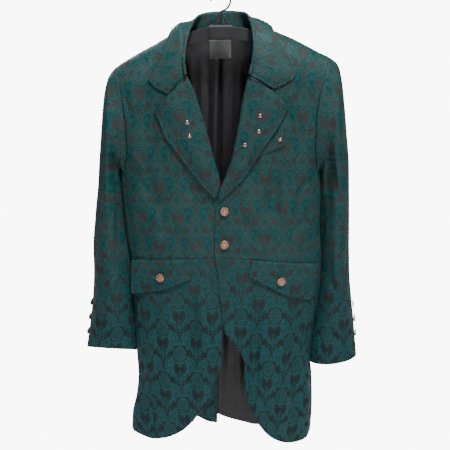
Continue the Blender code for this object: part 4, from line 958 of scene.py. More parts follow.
def shell(name, points, cloth, wall, hint, finishes, round_edge=0.32):
    """A closed wall under a grid of points, with a rounded edge; the second finish lines it."""
    rows, columns = points.shape[:2]
    wall = np.broadcast_to(wall, (rows, columns))
    inner = points - grid_normals(points, hint) * wall[..., None]
    edge = border_of(rows, columns)
    r, c = edge[:, 0], edge[:, 1]
    near = points[np.clip(r, 1, rows - 2), np.clip(c, 1, columns - 2)]
    out = unit(points[r, c] - near)
    middle = (points[r, c] + inner[r, c]) / 2 + out * wall[r, c][:, None] * round_edge
    every = np.concatenate([points.reshape(-1, 3), inner.reshape(-1, 3), middle])
    size = rows * columns
    index = np.arange(size).reshape(rows, columns)
    quads = np.stack([index[:-1, :-1], index[:-1, 1:], index[1:, 1:], index[1:, :-1]], axis=-1)
    quads = quads.reshape(-1, 4)
    ring = index[r, c]
    after = np.roll(ring, -1)
    mid = 2 * size + np.arange(len(ring))
    mid_after = np.roll(mid, -1)
    rim = np.stack([after, ring, mid, mid_after], axis=-1)
    rim_in = np.stack([mid_after, mid, ring + size, after + size], axis=-1)
    faces = np.concatenate([quads, rim, rim_in, quads[:, ::-1] + size])
    corner = every[faces]
    volume = np.sum(np.cross(corner[:, 0], corner[:, 1]) * corner[:, 2])
    volume += np.sum(np.cross(corner[:, 0], corner[:, 2]) * corner[:, 3])
    if volume < 0:
        faces = faces[:, ::-1]
    made = add_mesh(name, every, faces.tolist(), finishes)
    flat = np.concatenate([cloth.reshape(-1, 2), cloth.reshape(-1, 2), cloth[r, c]])
    layer = made.data.uv_layers.new(name="Cloth")
    layer.data.foreach_set("uv", flat[faces.reshape(-1)].astype(np.float32).reshape(-1))
    if len(finishes) > 1:
        slots = np.zeros(len(faces), np.int32)
        slots[-len(quads):] = 1
        made.data.polygons.foreach_set("material_index", slots)
    PIECES[name] = {"points": points, "normals": grid_normals(points, hint), "flat": cloth}
    return made


def grid_area(points):
    """Area of a grid of points."""
    first = np.cross(points[:-1, 1:] - points[:-1, :-1], points[1:, :-1] - points[:-1, :-1])
    second = np.cross(points[:-1, 1:] - points[1:, 1:], points[1:, :-1] - points[1:, 1:])
    return float((np.linalg.norm(first, axis=-1) + np.linalg.norm(second, axis=-1)).sum() / 2)


def finish_cloth(made, nodes):
    """Hides the CAD nodes that a piece of cloth replaces, hangs it on the root body and notes its flat cut.
    """
    grid = PIECES[made.name]
    width = float(np.ptp(grid["flat"][..., 0]))
    length = float(np.ptp(grid["flat"][..., 1]))
    area = min(grid_area(grid["points"]), width * length)
    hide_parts(*nodes)
    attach(made, "root")
    SHEETS.append((made.name, round(width, 3), round(length, 3), round(area, 4)))


def pin(cloth, points, x, z):
    """Moves a cloth map so that a star of the brocade falls on a place."""
    distance = np.hypot(points[..., 0] - x, points[..., 2] - z)
    r, c = np.unravel_index(int(np.argmin(distance)), distance.shape)
    return cloth - cloth[r, c]


# %% [markdown]
# ## The fronts
#
# A tailor cuts each front in two: the bodice down to the waist seam, and the cutaway skirt below it.
# The left bodice lies over the right one at the centre. The star that the brocade is pinned to makes
# the figures fall as they do on the real jacket.

# %% Bodice fronts and skirts
ARMHOLE_ROWS = 52


def armhole_heights(side, steps=ARMHOLE_ROWS):
    """Heights down the armhole seam, closer together over the shoulder."""
    top = ARMHOLE[side][0, 1]
    return top + (UNDERARM_Z - top) * (np.arange(steps + 1) / steps) ** 1.45


def armhole_place(side, z, back=False):
    """Places of the armhole seam at heights; behind, it curves in to the back side seam."""
    x = read_smooth(-ARMHOLE[side][:, 1], ARMHOLE[side][:, 0], -z)
    if back:
        share = np.clip((BACK_ARMHOLE_Z - z) / (BACK_ARMHOLE_Z - UNDERARM_Z), 0, 1)
        x = x + (back_seam_x(side, UNDERARM_Z) - ARMHOLE[side][-1, 0]) * share ** 2
    return np.stack([x, np.minimum(z, shoulder_height(x))], axis=-1)


def back_seam_x(side, z):
    """How far across the back side seam lies at heights."""
    angle = BACK_SEAM_ANGLE if side == "left" else math.pi - BACK_SEAM_ANGLE
    return turned(angle, z)[..., 0]


def seam_place(side, z):
    """Places of the front side seam at heights."""
    seam = SIDE_SEAM[side]
    return np.stack([read_smooth(-seam[:, 1], seam[:, 0], -z), z], axis=-1)


def chest_heights(side, end=True):
    """Heights from the underarm to the waist, closer together at the waist when it is an end."""
    waist = WAIST[side][-1, 1]
    return UNDERARM_Z + (waist - UNDERARM_Z) * close_shares(UNDERARM_Z - waist, False, end)


def skirt_heights(side):
    """Heights from the waist to the hem."""
    waist = WAIST[side][-1, 1]
    hem = SIDE_SEAM[side][-1, 1]
    return waist + (hem - waist) * close_shares(waist - hem)


def shoulder_run(start, end, shares):
    """Places of the shoulder line between two places across."""
    x = start + (end - start) * shares
    return np.stack([x, shoulder_height(x)], axis=-1)


def front_lift(side, x):
    """Height of a front's outer side: the right one passes under the left at the centre."""
    if side == "left":
        return np.zeros(x.shape)
    return -UNDERLAP_DROP * soft_step((x - UNDERLAP_START) / UNDERLAP_SPAN)


def seam_fade(distance, width=13 * MM):
    """Zero at a seam and one past a width from it, so that both sides of the seam stay together."""
    return soft_step(distance / width)


def face_piece(name, flat, lift, kinds, back, wall=WALL, lined=True, star=(0.0, 0.0), creases=1.4):
    """A panel of the front or back: its flat grid laid on the surface, creased and sewn."""
    x, z = flat[..., 0], flat[..., 1]
    point, normal = frame_on(x, z, back)
    across, _ = grid_lengths(point)
    crease = creased(x, z, back) * creases * closing(x, z) * seam_fade(across[:, -1:] - across)
    height = lift + crease + relief_of(point, kinds)
    points = point + normal * height[..., None]
    cloth = pin(cloth_map(points), points, star[0] * MM, star[1] * MM)
    finishes = (brocade, lining) if lined else (brocade,)
    return shell(name, points, cloth, wall, (0, 1.0 if back else -1.0, 0.05), finishes)


FRONT_WIDTH = 0.2
STAR_ON_BODICE = {"right": (-124, -400), "left": (161, -262)}
STAR_ON_SKIRT = {"right": (-20, -685), "left": (41, -720)}

for side in SIGN:
    armhole = armhole_place(side, armhole_heights(side))
    outer = np.concatenate([armhole, seam_place(side, chest_heights(side)[1:])])
    shares = close_shares(FRONT_WIDTH)
    top = shoulder_run(EDGE[side][0, 0], outer[0, 0], shares)
    inner = along(EDGE[side], shares_of(outer))
    flat = drawn_in(patch(top, along(WAIST[side], shares), inner, outer))
    kinds = {"top": "seam", "bottom": "seam", "inner": "sewn", "outer": "seam"}
    lift = front_lift(side, flat[..., 0])
    made = face_piece(f"Bodice_front_{side}", flat, lift, kinds, False, star=STAR_ON_BODICE[side])
    finish_cloth(made, [f"bodice_front_{side}"])
    outer = seam_place(side, skirt_heights(side))
    waist, hem = along(WAIST[side], shares), along(SKIRT_HEM[side], shares)
    flat = drawn_in(patch(waist, hem, along(SKIRT_EDGE[side], shares_of(outer)), outer))
    kinds = {"top": "seam", "bottom": "sewn", "inner": "sewn", "outer": "seam"}
    lift = front_lift(side, flat[..., 0])
    made = face_piece(f"Skirt_front_{side}", flat, lift, kinds, False, star=STAR_ON_SKIRT[side])
    finish_cloth(made, [f"skirt_front_{side}"])
print("fronts:", [name for name, *_ in SHEETS])

# %% [markdown]
# ## Side bodies
#
# The side body turns round the wearer's side, so it is laid out by angle and height. A soft wave, and
# long falls from the hip down, are worked out from sines and take the place of listed creases here.

# %% Sides
SIDE_WIDTH = 0.09
SIDE_GAP_ANGLE = 0.004
SIDE_PUFF = 1.0 * MM
SKIRT_FALL_Z = -0.55
SKIRT_FALL_SPAN = 0.2
SIDE_WAVE = 0.6
for side, sign in SIGN.items():
    front = np.concatenate([chest_heights(side, False), skirt_heights(side)[1:]])
    fall = np.linspace(0, 1, len(front)) ** 4
    behind = front + (SIDE_HEM_BACK_Z - front[-1]) * fall
    start = angle_of(*seam_place(side, front).T)[:, None]
    end = BACK_SEAM_ANGLE if side == "left" else math.pi - BACK_SEAM_ANGLE
    u = close_shares(SIDE_WIDTH, step=3.5 * MM)[None, :]
    angle = start + (end - start) * u - sign * SIDE_GAP_ANGLE * (1 - 2 * u)
    height = front[:, None] + (behind - front)[:, None] * u
    height[0] -= SEAM_HALF
    point = turned(angle, height)
    out = grid_normals(point, (sign, 0, 0))
    around = u * SIDE_WIDTH
    wave = 1.3 * MM * np.sin(height * 23 + 1.0 + 40 * around) * np.sin(height * 9 + 0.5)
    on_skirt = np.clip((SKIRT_FALL_Z - height) / SKIRT_FALL_SPAN, 0, 1)
    long_fall = 1.6 * MM * np.sin(around * 120 + height * 4) * on_skirt
    across, _ = grid_lengths(point)
    fade = seam_fade(across) * seam_fade(across[:, -1:] - across)
    rise = relief_of(point, {"bottom": "sewn", "inner": "seam", "outer": "seam"})
    rise = rise + (wave * SIDE_WAVE + long_fall + SIDE_PUFF) * fade
    points = point + out * rise[..., None]
    cloth = cloth_map(points, straight=False) + (0.017, 0)
    made = shell(f"Side_body_{side}", points, cloth, WALL, (sign, 0, 0), (brocade, lining))
    finish_cloth(made, [f"side_{side}"])
print("sheets so far:", len(SHEETS))

# %% [markdown]
# ## Backs, lining and vent
#
# The backs meet at a centre seam that opens into a vent below. Their lining is a separate sheet that
# hangs in soft pleats, because it is cut wider than the cloth. It shows in the neck and between the
# skirts.

# %% Backs
NECK_COLUMNS = 14
SHOULDER_LENGTH = 0.14
LINING_SHARE = 0.62
LINING_TOP_ROW = 2
PLEAT_TOP = -0.1
PLEAT_SPAN = 0.12
CENTRE_HOLD = 6 * MM
LINING_SHORTER = 16 * MM
FACING_WIDTH = 0.22
FACING_LIFT = 4.2 * MM
FACING_WALL = 1.6 * MM
FACING_TOP = -555 * MM


def back_flat(side):
    """Flat places of a back: centre seam, neck and shoulder, armhole and side seam, hem."""
    front = np.concatenate([chest_heights(side, False), skirt_heights(side)[1:]])
    behind = front + (SIDE_HEM_BACK_Z - front[-1]) * np.linspace(0, 1, len(front)) ** 4
    outer = armhole_place(side, armhole_heights(side), True)
    outer = np.concatenate([outer, np.stack([back_seam_x(side, behind[1:]), behind[1:]], axis=-1)])
    neck_x = EDGE[side][0, 0]
    neck_z = shoulder_height(neck_x)
    turn = np.arange(NECK_COLUMNS) / NECK_COLUMNS * math.pi / 2
    neck = np.stack([neck_x * np.sin(turn), neck_z + (NECK_BACK_Z - neck_z) * np.cos(turn)], axis=-1)
    shoulder = shoulder_run(neck_x, outer[0, 0], close_shares(SHOULDER_LENGTH, False, True))
    top = np.concatenate([neck, shoulder])
    hem = np.concatenate([BACK_HEM[side], outer[-1:]])
    centre = along(np.array([[0, NECK_BACK_Z], hem[0]]), shares_of(outer))
    return patch(top, along(hem, shares_of(top)), centre, outer)


BACK_KINDS = {"top": "seam", "bottom": "sewn", "inner": "seam", "outer": "seam"}
for side, sign in SIGN.items():
    flat = drawn_in(back_flat(side))
    zero = np.zeros(flat.shape[:2])
    made = face_piece(f"Back_{side}", flat, zero, BACK_KINDS, True, star=(sign * 38.5, -330))
    finish_cloth(made, [f"back_{side}"])
print("backs:", PIECES["Back_left"]["points"].shape)

# %% Back lining and vent facing
for side, sign in SIGN.items():
    flat = back_flat(side)
    keep = int(flat.shape[1] * LINING_SHARE)
    hem_row = int(np.argmin(np.abs(flat[:, 0, 1] - (flat[-1, 0, 1] + LINING_SHORTER))))
    flat = flat[LINING_TOP_ROW:hem_row, :keep]
    x, z = flat[..., 0], flat[..., 1]
    point, normal = frame_on(x, z, True)
    hang = np.clip((PLEAT_TOP - z) / PLEAT_SPAN, 0, 1) * np.clip(np.abs(x) / CENTRE_HOLD, 0, 1)
    pleats = 1.7 * np.sin(x * 250 + z * 3 + 0.9 * np.sin(z * 11)) + 1.2 * np.sin(x * 143 - z * 5 + 1.7)
    depth = (1.6 + np.maximum(pleats, -1.5)) * MM * hang
    points = point - normal * (WALL + LINING_GAP + depth)[..., None]
    cloth = cloth_map(points)
    made = shell(f"Back_lining_{side}", points, cloth, LINING_WALL, (0, 1, 0), (lining,))
    finish_cloth(made, [f"back_lining_{side}"])

flat = back_flat("right")
first = int(np.argmin(np.abs(flat[:, 0, 1] - FACING_TOP)))
flat = flat[first:, :int(flat.shape[1] * FACING_WIDTH)]
point, normal = frame_on(flat[..., 0], flat[..., 1], True)
wave = 0.8 * MM * np.sin(flat[..., 1] * 33 + 1) + 0.6 * MM * np.sin(flat[..., 0] * 160)
depth = WALL + LINING_GAP + LINING_WALL + CLOSE + FACING_LIFT + wave
points = point - normal * depth[..., None]
cloth = pin(cloth_map(points), points, -0.04, -0.93)
made = shell("Vent_facing", points, cloth, FACING_WALL, (0, 1, 0), (brocade,))
finish_cloth(made, ["vent_facing"])
print("vent facing flat size:", SHEETS[-1][1:3])

# %% [markdown]
# ## Lapels
#
# A lapel is the front's own facing, turned over the roll line. Its first columns run round the
# front's edge like a real roll, and the wall is thin there and thick at the outer edge, where several
# layers are sewn together.

# %% Lapels
LAPEL_WIDTH = 0.075
LAPEL_LENGTH = 0.26
ROLL_ASIDE = np.array([-1.0, 0.5, 1.8, 2.4, 2.3, 1.4]) * MM
ROLL_LIFT = np.array([-3.3, -3.2, -2.4, -0.7, 1.2, 2.6]) * MM
REST = {"left": 2.8 * MM, "right": 1.6 * MM}
LAPEL_WALL = 2.4 * MM
ROLL_WALL = 0.9 * MM
ROLL_TUCK = WALL * 1.6
LAPEL_PUFF = 3.5 * MM
LAPEL_TILT = 24


def lapel_flat(side, u, v):
    """Flat places of a lapel: from the roll line (u = 0) to its edge, notch (v = 0) to lower end."""
    keys, edge = LAPEL_EDGE[side]
    end = np.array(ROLL_END[side])
    border = EDGE[side]
    inside = (border[:, 1] < -160 * MM) & (border[:, 1] > end[1] + 12 * MM)
    start = border[2] - np.array([0, 2 * MM])
    roll = along(np.vstack([start, border[inside], end]), v)
    stop = np.stack([np.interp(v, keys, edge[:, 0]), np.interp(v, keys, edge[:, 1])], axis=-1)
    return roll[:, None] + (stop - roll)[:, None] * u[None, :, None]


def lapel_height(side, u, v):
    """Height of a lapel's underside over the front."""
    settle = np.minimum((1 - v) / 0.3, 1)
    puff = LAPEL_PUFF * np.sin(math.pi * np.minimum(u, 1)) ** 2
    return CLOSE + (REST[side] - CLOSE) * settle + puff * settle


for side, sign in SIGN.items():
    u = close_shares(LAPEL_WIDTH, False, True, 3.5 * MM)
    v = close_shares(LAPEL_LENGTH)
    flat = lapel_flat(side, u, v)
    point, normal = frame_on(flat[..., 0], flat[..., 1])
    height = lapel_height(side, u[None, :], v[:, None]) + LAPEL_WALL
    body = point + normal * height[..., None]
    way = unit(flat[:, -1] - flat[:, 0])
    on_roll, out = frame_on(flat[:, 0, 0], flat[:, 0, 1])
    shift = -ROLL_TUCK * np.clip((v[:, None] - 0.9) / 0.1, 0, 1) if side == "right" else 0
    rolled = []
    for aside, lift in zip(ROLL_ASIDE, ROLL_LIFT):
        moved = (flat[:, 0] - way * aside) - flat[:, 0]
        base = on_roll + np.stack([moved[:, 0], np.zeros(len(v)), moved[:, 1]], axis=-1)
        rolled.append(base + out * (lift + shift))
    points = np.concatenate([np.stack(rolled, axis=1), body], axis=1)
    smile = relief_of(points, {"top": "sewn", "bottom": "sewn", "outer": "sewn"})
    smile[:, :len(ROLL_ASIDE)] *= 0.2
    run = v[:, None] * LAPEL_LENGTH
    smile = smile + 0.5 * MM * np.sin(run * 37 + sign) * np.sin(points[..., 0] * 60)
    out = grid_normals(points, (0, -1, 0))
    points = points + out * smile[..., None]
    thin = np.full((len(v), len(ROLL_ASIDE)), ROLL_WALL)
    thick = np.minimum(ROLL_WALL + u[None, :] * LAPEL_WIDTH * 0.25, LAPEL_WALL) * np.ones((len(v), 1))
    wall = np.concatenate([thin, thick], axis=1)
    cloth = pin(cloth_map(points), points, sign * 0.07, -0.255)
    tilt = math.radians(-sign * LAPEL_TILT)
    spin = np.array([[math.cos(tilt), -math.sin(tilt)], [math.sin(tilt), math.cos(tilt)]])
    made = shell(f"Lapel_{side}", points, cloth @ spin, wall, (0, -1, 0), (brocade,))
    finish_cloth(made, [f"lapel_{side}"])
print("lapels:", [round(float(grid_area(PIECES[f"Lapel_{s}"]["points"])), 4) for s in SIGN])

# %% [markdown]
# ## The collar
#
# The collar is one strip that goes up from its outer edge, over the fold and down the stand. Each
# station across the strip is a short curve. Stations are blended between 13 measured ones.

# %% Collar
COLLAR_WALL = 2.3 * MM
COLLAR_ROLL = 2.3 * MM
RIDGE_LIFT = 4.5 * MM
RIDGE_REACH = 30 * MM
COLLAR_PUFF = 2.6 * MM
COLLAR_LENGTH = 0.56
COLLAR_WIDTH = 0.1


def wrapped_frame(x, below):
    """Point and normal by the signed distance below the shoulder line, above zero behind."""
    z = shoulder_height(x) - np.maximum(np.abs(below), 0.1 * MM)
    front, front_normal = frame_on(x, z, False)
    behind, behind_normal = frame_on(x, z, True)
    share = np.clip((below / (1.5 * MM) + 1) / 2, 0, 1)[..., None]
    point = front * (1 - share) + behind * share
    return point, unit(front_normal * (1 - share) + behind_normal * share)


def station_read(values, shares):
    """Reads a row of stations at shares of the way along them."""
    return read_smooth(np.linspace(0, 1, len(values)), values, shares)


def collar_middle(shares):
    """Middle layer of the collar, a row of points for each station."""
    fold = np.stack([station_read(COLLAR[name], shares) for name in ("fold_x", "fold_y", "fold_z")], axis=-1)
    edge_below = COLLAR["face"] / MM * (shoulder_height(COLLAR["edge_x"]) - COLLAR["edge_z"])
    neck_below = NECKLINE["face"] / MM * (shoulder_height(NECKLINE["x"]) - NECKLINE["z"])
    edge = np.stack([station_read(COLLAR["edge_x"], shares), station_read(edge_below, shares)], axis=-1)
    neck = np.stack([station_read(NECKLINE["x"], shares), station_read(neck_below, shares)], axis=-1)
    neck_point, neck_normal = wrapped_frame(neck[:, 0], neck[:, 1])
    layers = []
    for share in np.linspace(0, 1, 4):
        at = edge + (neck - edge) * share
        point, normal = wrapped_frame(at[:, 0], at[:, 1])
        ridge = RIDGE_LIFT * hump(at[:, 1], 0, RIDGE_REACH)
        lift = CLOSE + COLLAR_WALL / 2 + COLLAR_PUFF * math.sin(math.pi * share * 0.62) + ridge
        layers.append(point + normal * lift[:, None])
    outward = unit(np.stack([fold[:, 0], fold[:, 1] + 10 * MM, np.zeros(len(shares))], axis=-1))
    drop = np.array([0, 0, COLLAR_ROLL])
    layers.append(fold + outward * COLLAR_ROLL - drop)
    layers.append(fold)
    layers.append(fold - outward * COLLAR_ROLL * 0.5 - drop)
    up = unit(fold - neck_point) * (COLLAR_WALL / 2 + 0.3 * MM)
    layers.append(neck_point - neck_normal * WALL / 2 + up)
    return np.stack(layers, axis=1)


stations = close_shares(COLLAR_LENGTH, step=3.6 * MM)
across_shares = close_shares(COLLAR_WIDTH, True, False, 3.0 * MM)
middle = np.stack([along(row, across_shares) for row in collar_middle(stations)])
outside = np.array([0.0, -0.2, 1.0])
normals = grid_normals(middle, outside)
side_of = np.sign(np.sum(normals[:, 8] * outside, axis=-1).sum())
normals = normals * side_of
sewn = relief_of(middle, {"top": "sewn", "bottom": "sewn", "inner": "sewn"})
ripple = 0.6 * MM * np.sin(stations * 41)[:, None] * np.sin(across_shares * 5)[None, :]
points = middle + normals * (COLLAR_WALL / 2 + sewn + ripple)[..., None]
cloth = pairs(-across_shares * COLLAR_WIDTH, stations * COLLAR_LENGTH)[..., ::-1] + 0.01
made = shell("Collar", points, cloth, COLLAR_WALL, normals, (brocade,))
finish_cloth(made, ["collar"])
print("collar grid:", points.shape[:2])

# %% [markdown]
# ## Sleeves
#
# A sleeve is a row of rings from the armhole to the cuff. Its first ring is the armhole seam itself.
# A two-piece sleeve has a seam in front of the arm and one behind, so each ring is split in two
# halves. The creases are set in millimetres round the arm, with 300 for the whole way: 0 at the outer
# seam, 75 in front, 150 at the inner seam, 225 behind. Down the arm they are set by the distance from
# the armhole.
#
# The cloth map of a sleeve is its level girth and its height. Over the sleeve head a level girth would
# spread the weave, so there the map eases to the distance from the sleeve's outermost place.

# %% Sleeve rings
HALF_POINTS = 40
UNDER_POINTS = 8
SLEEVE_POWER = 0.62
GIRTH = 0.30
SNUG = 3.0 * MM
RING_INSET = 1.2 * MM
RING_DROP = 1.5 * MM
CREASE_SCALE = 1.5
HEAD_FADE = 40 * MM
CUFF_FADE = 30 * MM
HEAD_MAP_START = -480 * MM
HEAD_MAP_SPAN = 100 * MM
DEPTH_IN_MAP = 0.8
SLEEVE_RELIEF = 0.8
SLEEVE_CREASES = {
    "left": table(CREASE_COLUMNS, [
        (40, -120, 70, -260, 8, 2.2, 6), (96, -60, 62, -230, 7, -2.2, -6),
        (30, -250, 58, -380, 9, -2.4, 7), (84, -280, 60, -420, 8, 2.4, -8),
        (104, -360, 50, -430, 7, -2.0, 5), (24, -420, 66, -480, 8, 1.8, -6),
        (92, -450, 70, -600, 8, -2.0, 6), (48, -500, 38, -630, 7, 1.6, -4),
        (120, -150, 134, -330, 8, -1.8, 5), (112, -520, 116, -640, 6, 1.3, 3),
        (14, -90, 22, -300, 7, -1.6, 4), (180, -120, 200, -300, 9, -2.4, 7),
        (240, -200, 215, -380, 9, 2.4, -8), (190, -380, 240, -440, 8, -2.2, 6),
        (262, -420, 230, -480, 8, 1.9, -5), (210, -480, 224, -620, 8, -1.9, 5),
        (276, -100, 262, -280, 8, 1.8, 5), (170, -460, 176, -600, 7, 1.5, -4),
    ]),
    "right": table(CREASE_COLUMNS, [
        (60, -90, 44, -250, 9, -2.2, 6), (98, -100, 84, -280, 7, 2.0, -5),
        (34, -300, 70, -400, 9, -2.2, -7), (100, -330, 62, -420, 8, 2.3, 6),
        (40, -420, 84, -470, 7, -1.8, 5), (88, -470, 66, -610, 8, -1.9, -6),
        (30, -500, 44, -640, 7, 1.6, 4), (122, -200, 132, -360, 8, 1.7, 5),
        (112, -540, 104, -640, 6, -1.2, 3), (16, -140, 20, -330, 7, 1.5, -4),
        (200, -140, 184, -320, 9, 2.3, 7), (250, -160, 226, -350, 9, -2.3, -8),
        (230, -370, 184, -450, 8, 2.0, 6), (268, -400, 240, -470, 8, -1.9, 5),
        (206, -500, 216, -630, 8, 1.8, 5), (280, -120, 268, -300, 8, -1.7, -5),
    ]),
}


def ring_points(rows, i):
    """A ring of the sleeve, front then back, round from its outer end."""
    turn = 2 * math.pi * np.arange(2 * HALF_POINTS) / (2 * HALF_POINTS)
    share = (1 - np.cos(turn)) / 2
    depth = np.copysign(np.abs(np.sin(turn)) ** (2 * SLEEVE_POWER), np.sin(turn))
    depth[np.abs(np.sin(turn)) < 1e-9] = 0
    reach = np.where(depth > 0, rows["front"][i], rows["back"][i])
    crease = rows["crease"][i] * hump(share, 0.78, 0.12) * (depth > 0)
    x = rows["outer_x"][i] + (rows["inner_x"][i] - rows["outer_x"][i]) * share
    z = rows["outer_z"][i] + (rows["inner_z"][i] - rows["outer_z"][i]) * share
    z = z + rows["lift"][i] * np.maximum(depth, 0)
    snug = SNUG * share * share * (-1 if x[0] > 0 else 1)
    return np.stack([x + snug, rows["set_back"][i] + crease - depth * reach, z], axis=-1)


def armhole_ring(side):
    """The armhole seam as a ring of points."""
    sign = SIGN[side]
    halves = []
    for back in (False, True):
        place = armhole_place(side, armhole_heights(side, HALF_POINTS - UNDER_POINTS), back)
        point = garment(place[:, 0], place[:, 1], back) + np.array([sign * 0.3 * MM, 0, 0])
        centre, width = half_widths(UNDERARM_Z)
        edge = centre + sign * (width - RING_INSET)
        turn = np.arange(1, UNDER_POINTS + 1) / UNDER_POINTS * math.pi / 2
        low_x = point[-1, 0] + (edge - point[-1, 0]) * np.sin(turn)
        low_z = np.full(len(turn), UNDERARM_Z - RING_DROP)
        low = np.stack([low_x, point[-1, 1] * np.cos(turn), low_z], axis=-1)
        halves.append(np.concatenate([point, low]))
    return np.concatenate([halves[0], halves[1][-2:0:-1]])


def sleeve_grid(side):
    """All points of a sleeve on a fine grid, with their distance down from the armhole."""
    rows = SLEEVE[side]
    rings = [ring_points(rows, i) for i in range(len(rows["front"]))]
    coarse = np.stack([armhole_ring(side)] + rings)
    steps = np.linalg.norm(np.diff(coarse.mean(axis=1), axis=0), axis=-1)
    run = np.concatenate([[0], np.cumsum(np.maximum(steps, 8 * MM))])
    shares = close_shares(run[-1], True, True, 3.8 * MM)
    return read_smooth(run / run[-1], coarse, shares), shares * run[-1]


# %% Sleeves
CUFF_BUTTON_Z = (-652, -687, -722)
for side, sign in SIGN.items():
    rows = SLEEVE[side]
    grid, run = sleeve_grid(side)
    turn = np.arange(2 * HALF_POINTS) / (2 * HALF_POINTS)
    centre = grid.mean(axis=1, keepdims=True)
    closed = np.concatenate([grid[:, -1:], grid, grid[:, :1]], axis=1)
    out = unit(np.cross(np.gradient(closed, axis=0), np.gradient(closed, axis=1)))[:, 1:-1]
    out = out if np.sum(out * (grid - centre)) > 0 else -out
    arm = (turn * GIRTH)[None, :] * np.ones((len(run), 1))
    down = -run[:, None] * np.ones((1, len(turn)))
    fade = np.clip(run / HEAD_FADE, 0, 1) * np.clip((run[-1] - run) / CUFF_FADE + 0.25, 0, 1)
    height = ridge_sum(SLEEVE_CREASES[side], arm, down) * CREASE_SCALE + swell(arm * 1.3, down)
    height = height * fade[:, None]
    near = hump(run, 0, 14 * MM) * hump(run, 0, 9 * MM)
    ease = 1.0 * MM * pucker(arm * 0.5) * near[:, None]
    grid = grid + out * (height + ease)[..., None]
    for part, start in (("top", 0), ("under", HALF_POINTS)):
        picks = (start + np.arange(HALF_POINTS + 1)) % (2 * HALF_POINTS)
        points = grid[:, picks].copy()
        shift = -SEAM_HALF if part == "top" else SEAM_HALF
        points[:, 0, 1] += shift
        points[:, -1, 1] += shift
        hint = out[:, picks]
        rise = relief_of(points, {"top": "seam", "bottom": "sewn", "inner": "seam", "outer": "seam"})
        points = points + hint * (rise * SLEEVE_RELIEF)[..., None]
        level = grid_lengths(points[..., :2])[0]
        girth = level if part == "top" else level[:, -1:] - level
        outermost = np.interp(points[..., 2], rows["outer_z"][::-1], rows["outer_x"][::-1])
        aside = np.abs(points[..., 0] - outermost) + np.abs(points[..., 1]) * DEPTH_IN_MAP
        on_head = np.clip((points[..., 2] - HEAD_MAP_START) / HEAD_MAP_SPAN, 0, 1)
        girth = girth + (aside - girth) * on_head
        cloth = np.stack([girth * (-sign if part == "top" else sign), points[..., 2]], axis=-1)
        cloth = cloth + (0.006 * sign, 0.02)
        made = shell(f"Sleeve_{side}_{part}", points, cloth, WALL, hint, (brocade, lining))
        finish_cloth(made, [f"sleeve_{side}_{part}"])
print("sleeve grid:", grid.shape[:2])

# %% [markdown]
# ## Pocket flaps and the breast welt
#
# A flap is sewn in at its top edge and lies on the skirt below it. Past the side's turn a flap runs
# straight on, because it is stiffer than the cloth beneath.

# %% Flaps and welt
FLAP_SIZE = (0.128, 0.062)
FLAP_WALL = 2.4 * MM
FLAP_STRAIGHT = 0.84
FLAP_POINT = 6 * MM
FLAP_ROUND = 9 * MM
SLOPE_STEP = 2 * MM
SLOPE_KEPT = 0.8
WELT_SIZE = (0.062, 0.026)
WELT_WALL = 1.4 * MM
WELT_RELIEF = 0.7
FINE_STEP = 3 * MM


def quad(corners, u, v, drop=0.0):
    """Flat places between four corners; the lower border may run to a soft point."""
    a, b, c, d = corners
    top = a + (b - a) * u[:, None]
    low = d + (c - d) * u[:, None]
    grid = top[None] + (low - top)[None] * v[:, None, None]
    grid[..., 1] -= drop * np.sin(math.pi * u)[None, :] ** 2 * v[:, None]
    return grid


def round_corners(grid, u, v, size):
    """Draws the two lower corners of a flat grid in, so that they turn softly."""
    width = np.linalg.norm(grid[-1, -1] - grid[-1, 0])
    height = np.linalg.norm(grid[-1, 0] - grid[0, 0])
    for end in (0, 1):
        aside = np.abs(u - end)[None, :] * width / size
        under = (1 - v)[:, None] * height / size
        near = np.clip(1 - aside, 0, 1) * np.clip(1 - under, 0, 1)
        inwards = grid.mean(axis=(0, 1)) - grid
        grid = grid + unit(inwards) * (near * size * 0.38)[..., None]
    return grid


def flap_frame(x, z):
    """Points and normals under a flap."""
    centre, half = half_widths(z)
    inside = centre + np.clip(x - centre, -half * FLAP_STRAIGHT, half * FLAP_STRAIGHT)
    point, normal = frame_on(inside, z)
    past = np.abs(x - inside)
    back_step = np.where(past > 0, -np.sign(x - inside) * SLOPE_STEP, 0)
    slope = (point[..., 1] - garment(inside + back_step, z)[..., 1]) / SLOPE_STEP
    moved = point.copy()
    moved[..., 0] = x
    moved[..., 1] = point[..., 1] + slope * past * SLOPE_KEPT
    return moved, normal


for side, sign in SIGN.items():
    u, v = (close_shares(length, step=FINE_STEP) for length in FLAP_SIZE)
    flat = round_corners(quad(FLAP[side], u, v, FLAP_POINT), u, v, FLAP_ROUND)
    point, normal = flap_frame(flat[..., 0], flat[..., 1])
    sag = 0.9 * MM * np.sin(u * 9 + sign)[None, :] * v[:, None] + 1.2 * MM * (v ** 2)[:, None]
    relief = relief_of(point, {"top": "seam", "bottom": "sewn", "inner": "sewn", "outer": "sewn"})
    height = CLOSE + FLAP_WALL + sag + relief
    points = point + normal * height[..., None]
    cloth = pin(cloth_map(points), points, sign * 0.128, -0.56)
    made = shell(f"Pocket_flap_{side}", points, cloth, FLAP_WALL, (0, -1, 0), (brocade,))
    finish_cloth(made, [f"flap_{side}"])

u, v = (close_shares(length, step=FINE_STEP) for length in WELT_SIZE)
flat = quad(WELT, u, v)
point, normal = frame_on(flat[..., 0], flat[..., 1])
relief = relief_of(point, {"top": "sewn", "bottom": "seam", "outer": "sewn"})
height = CLOSE + WELT_WALL + relief * WELT_RELIEF
points = point + normal * height[..., None]
cloth = pin(cloth_map(points), points, 0.1, -0.28)
made = shell("Breast_welt", points, cloth, WELT_WALL, (0, -1, 0), (brocade,))
finish_cloth(made, ["chest_welt"])
print("flaps and welt:", [row[:3] for row in SHEETS[-3:]])

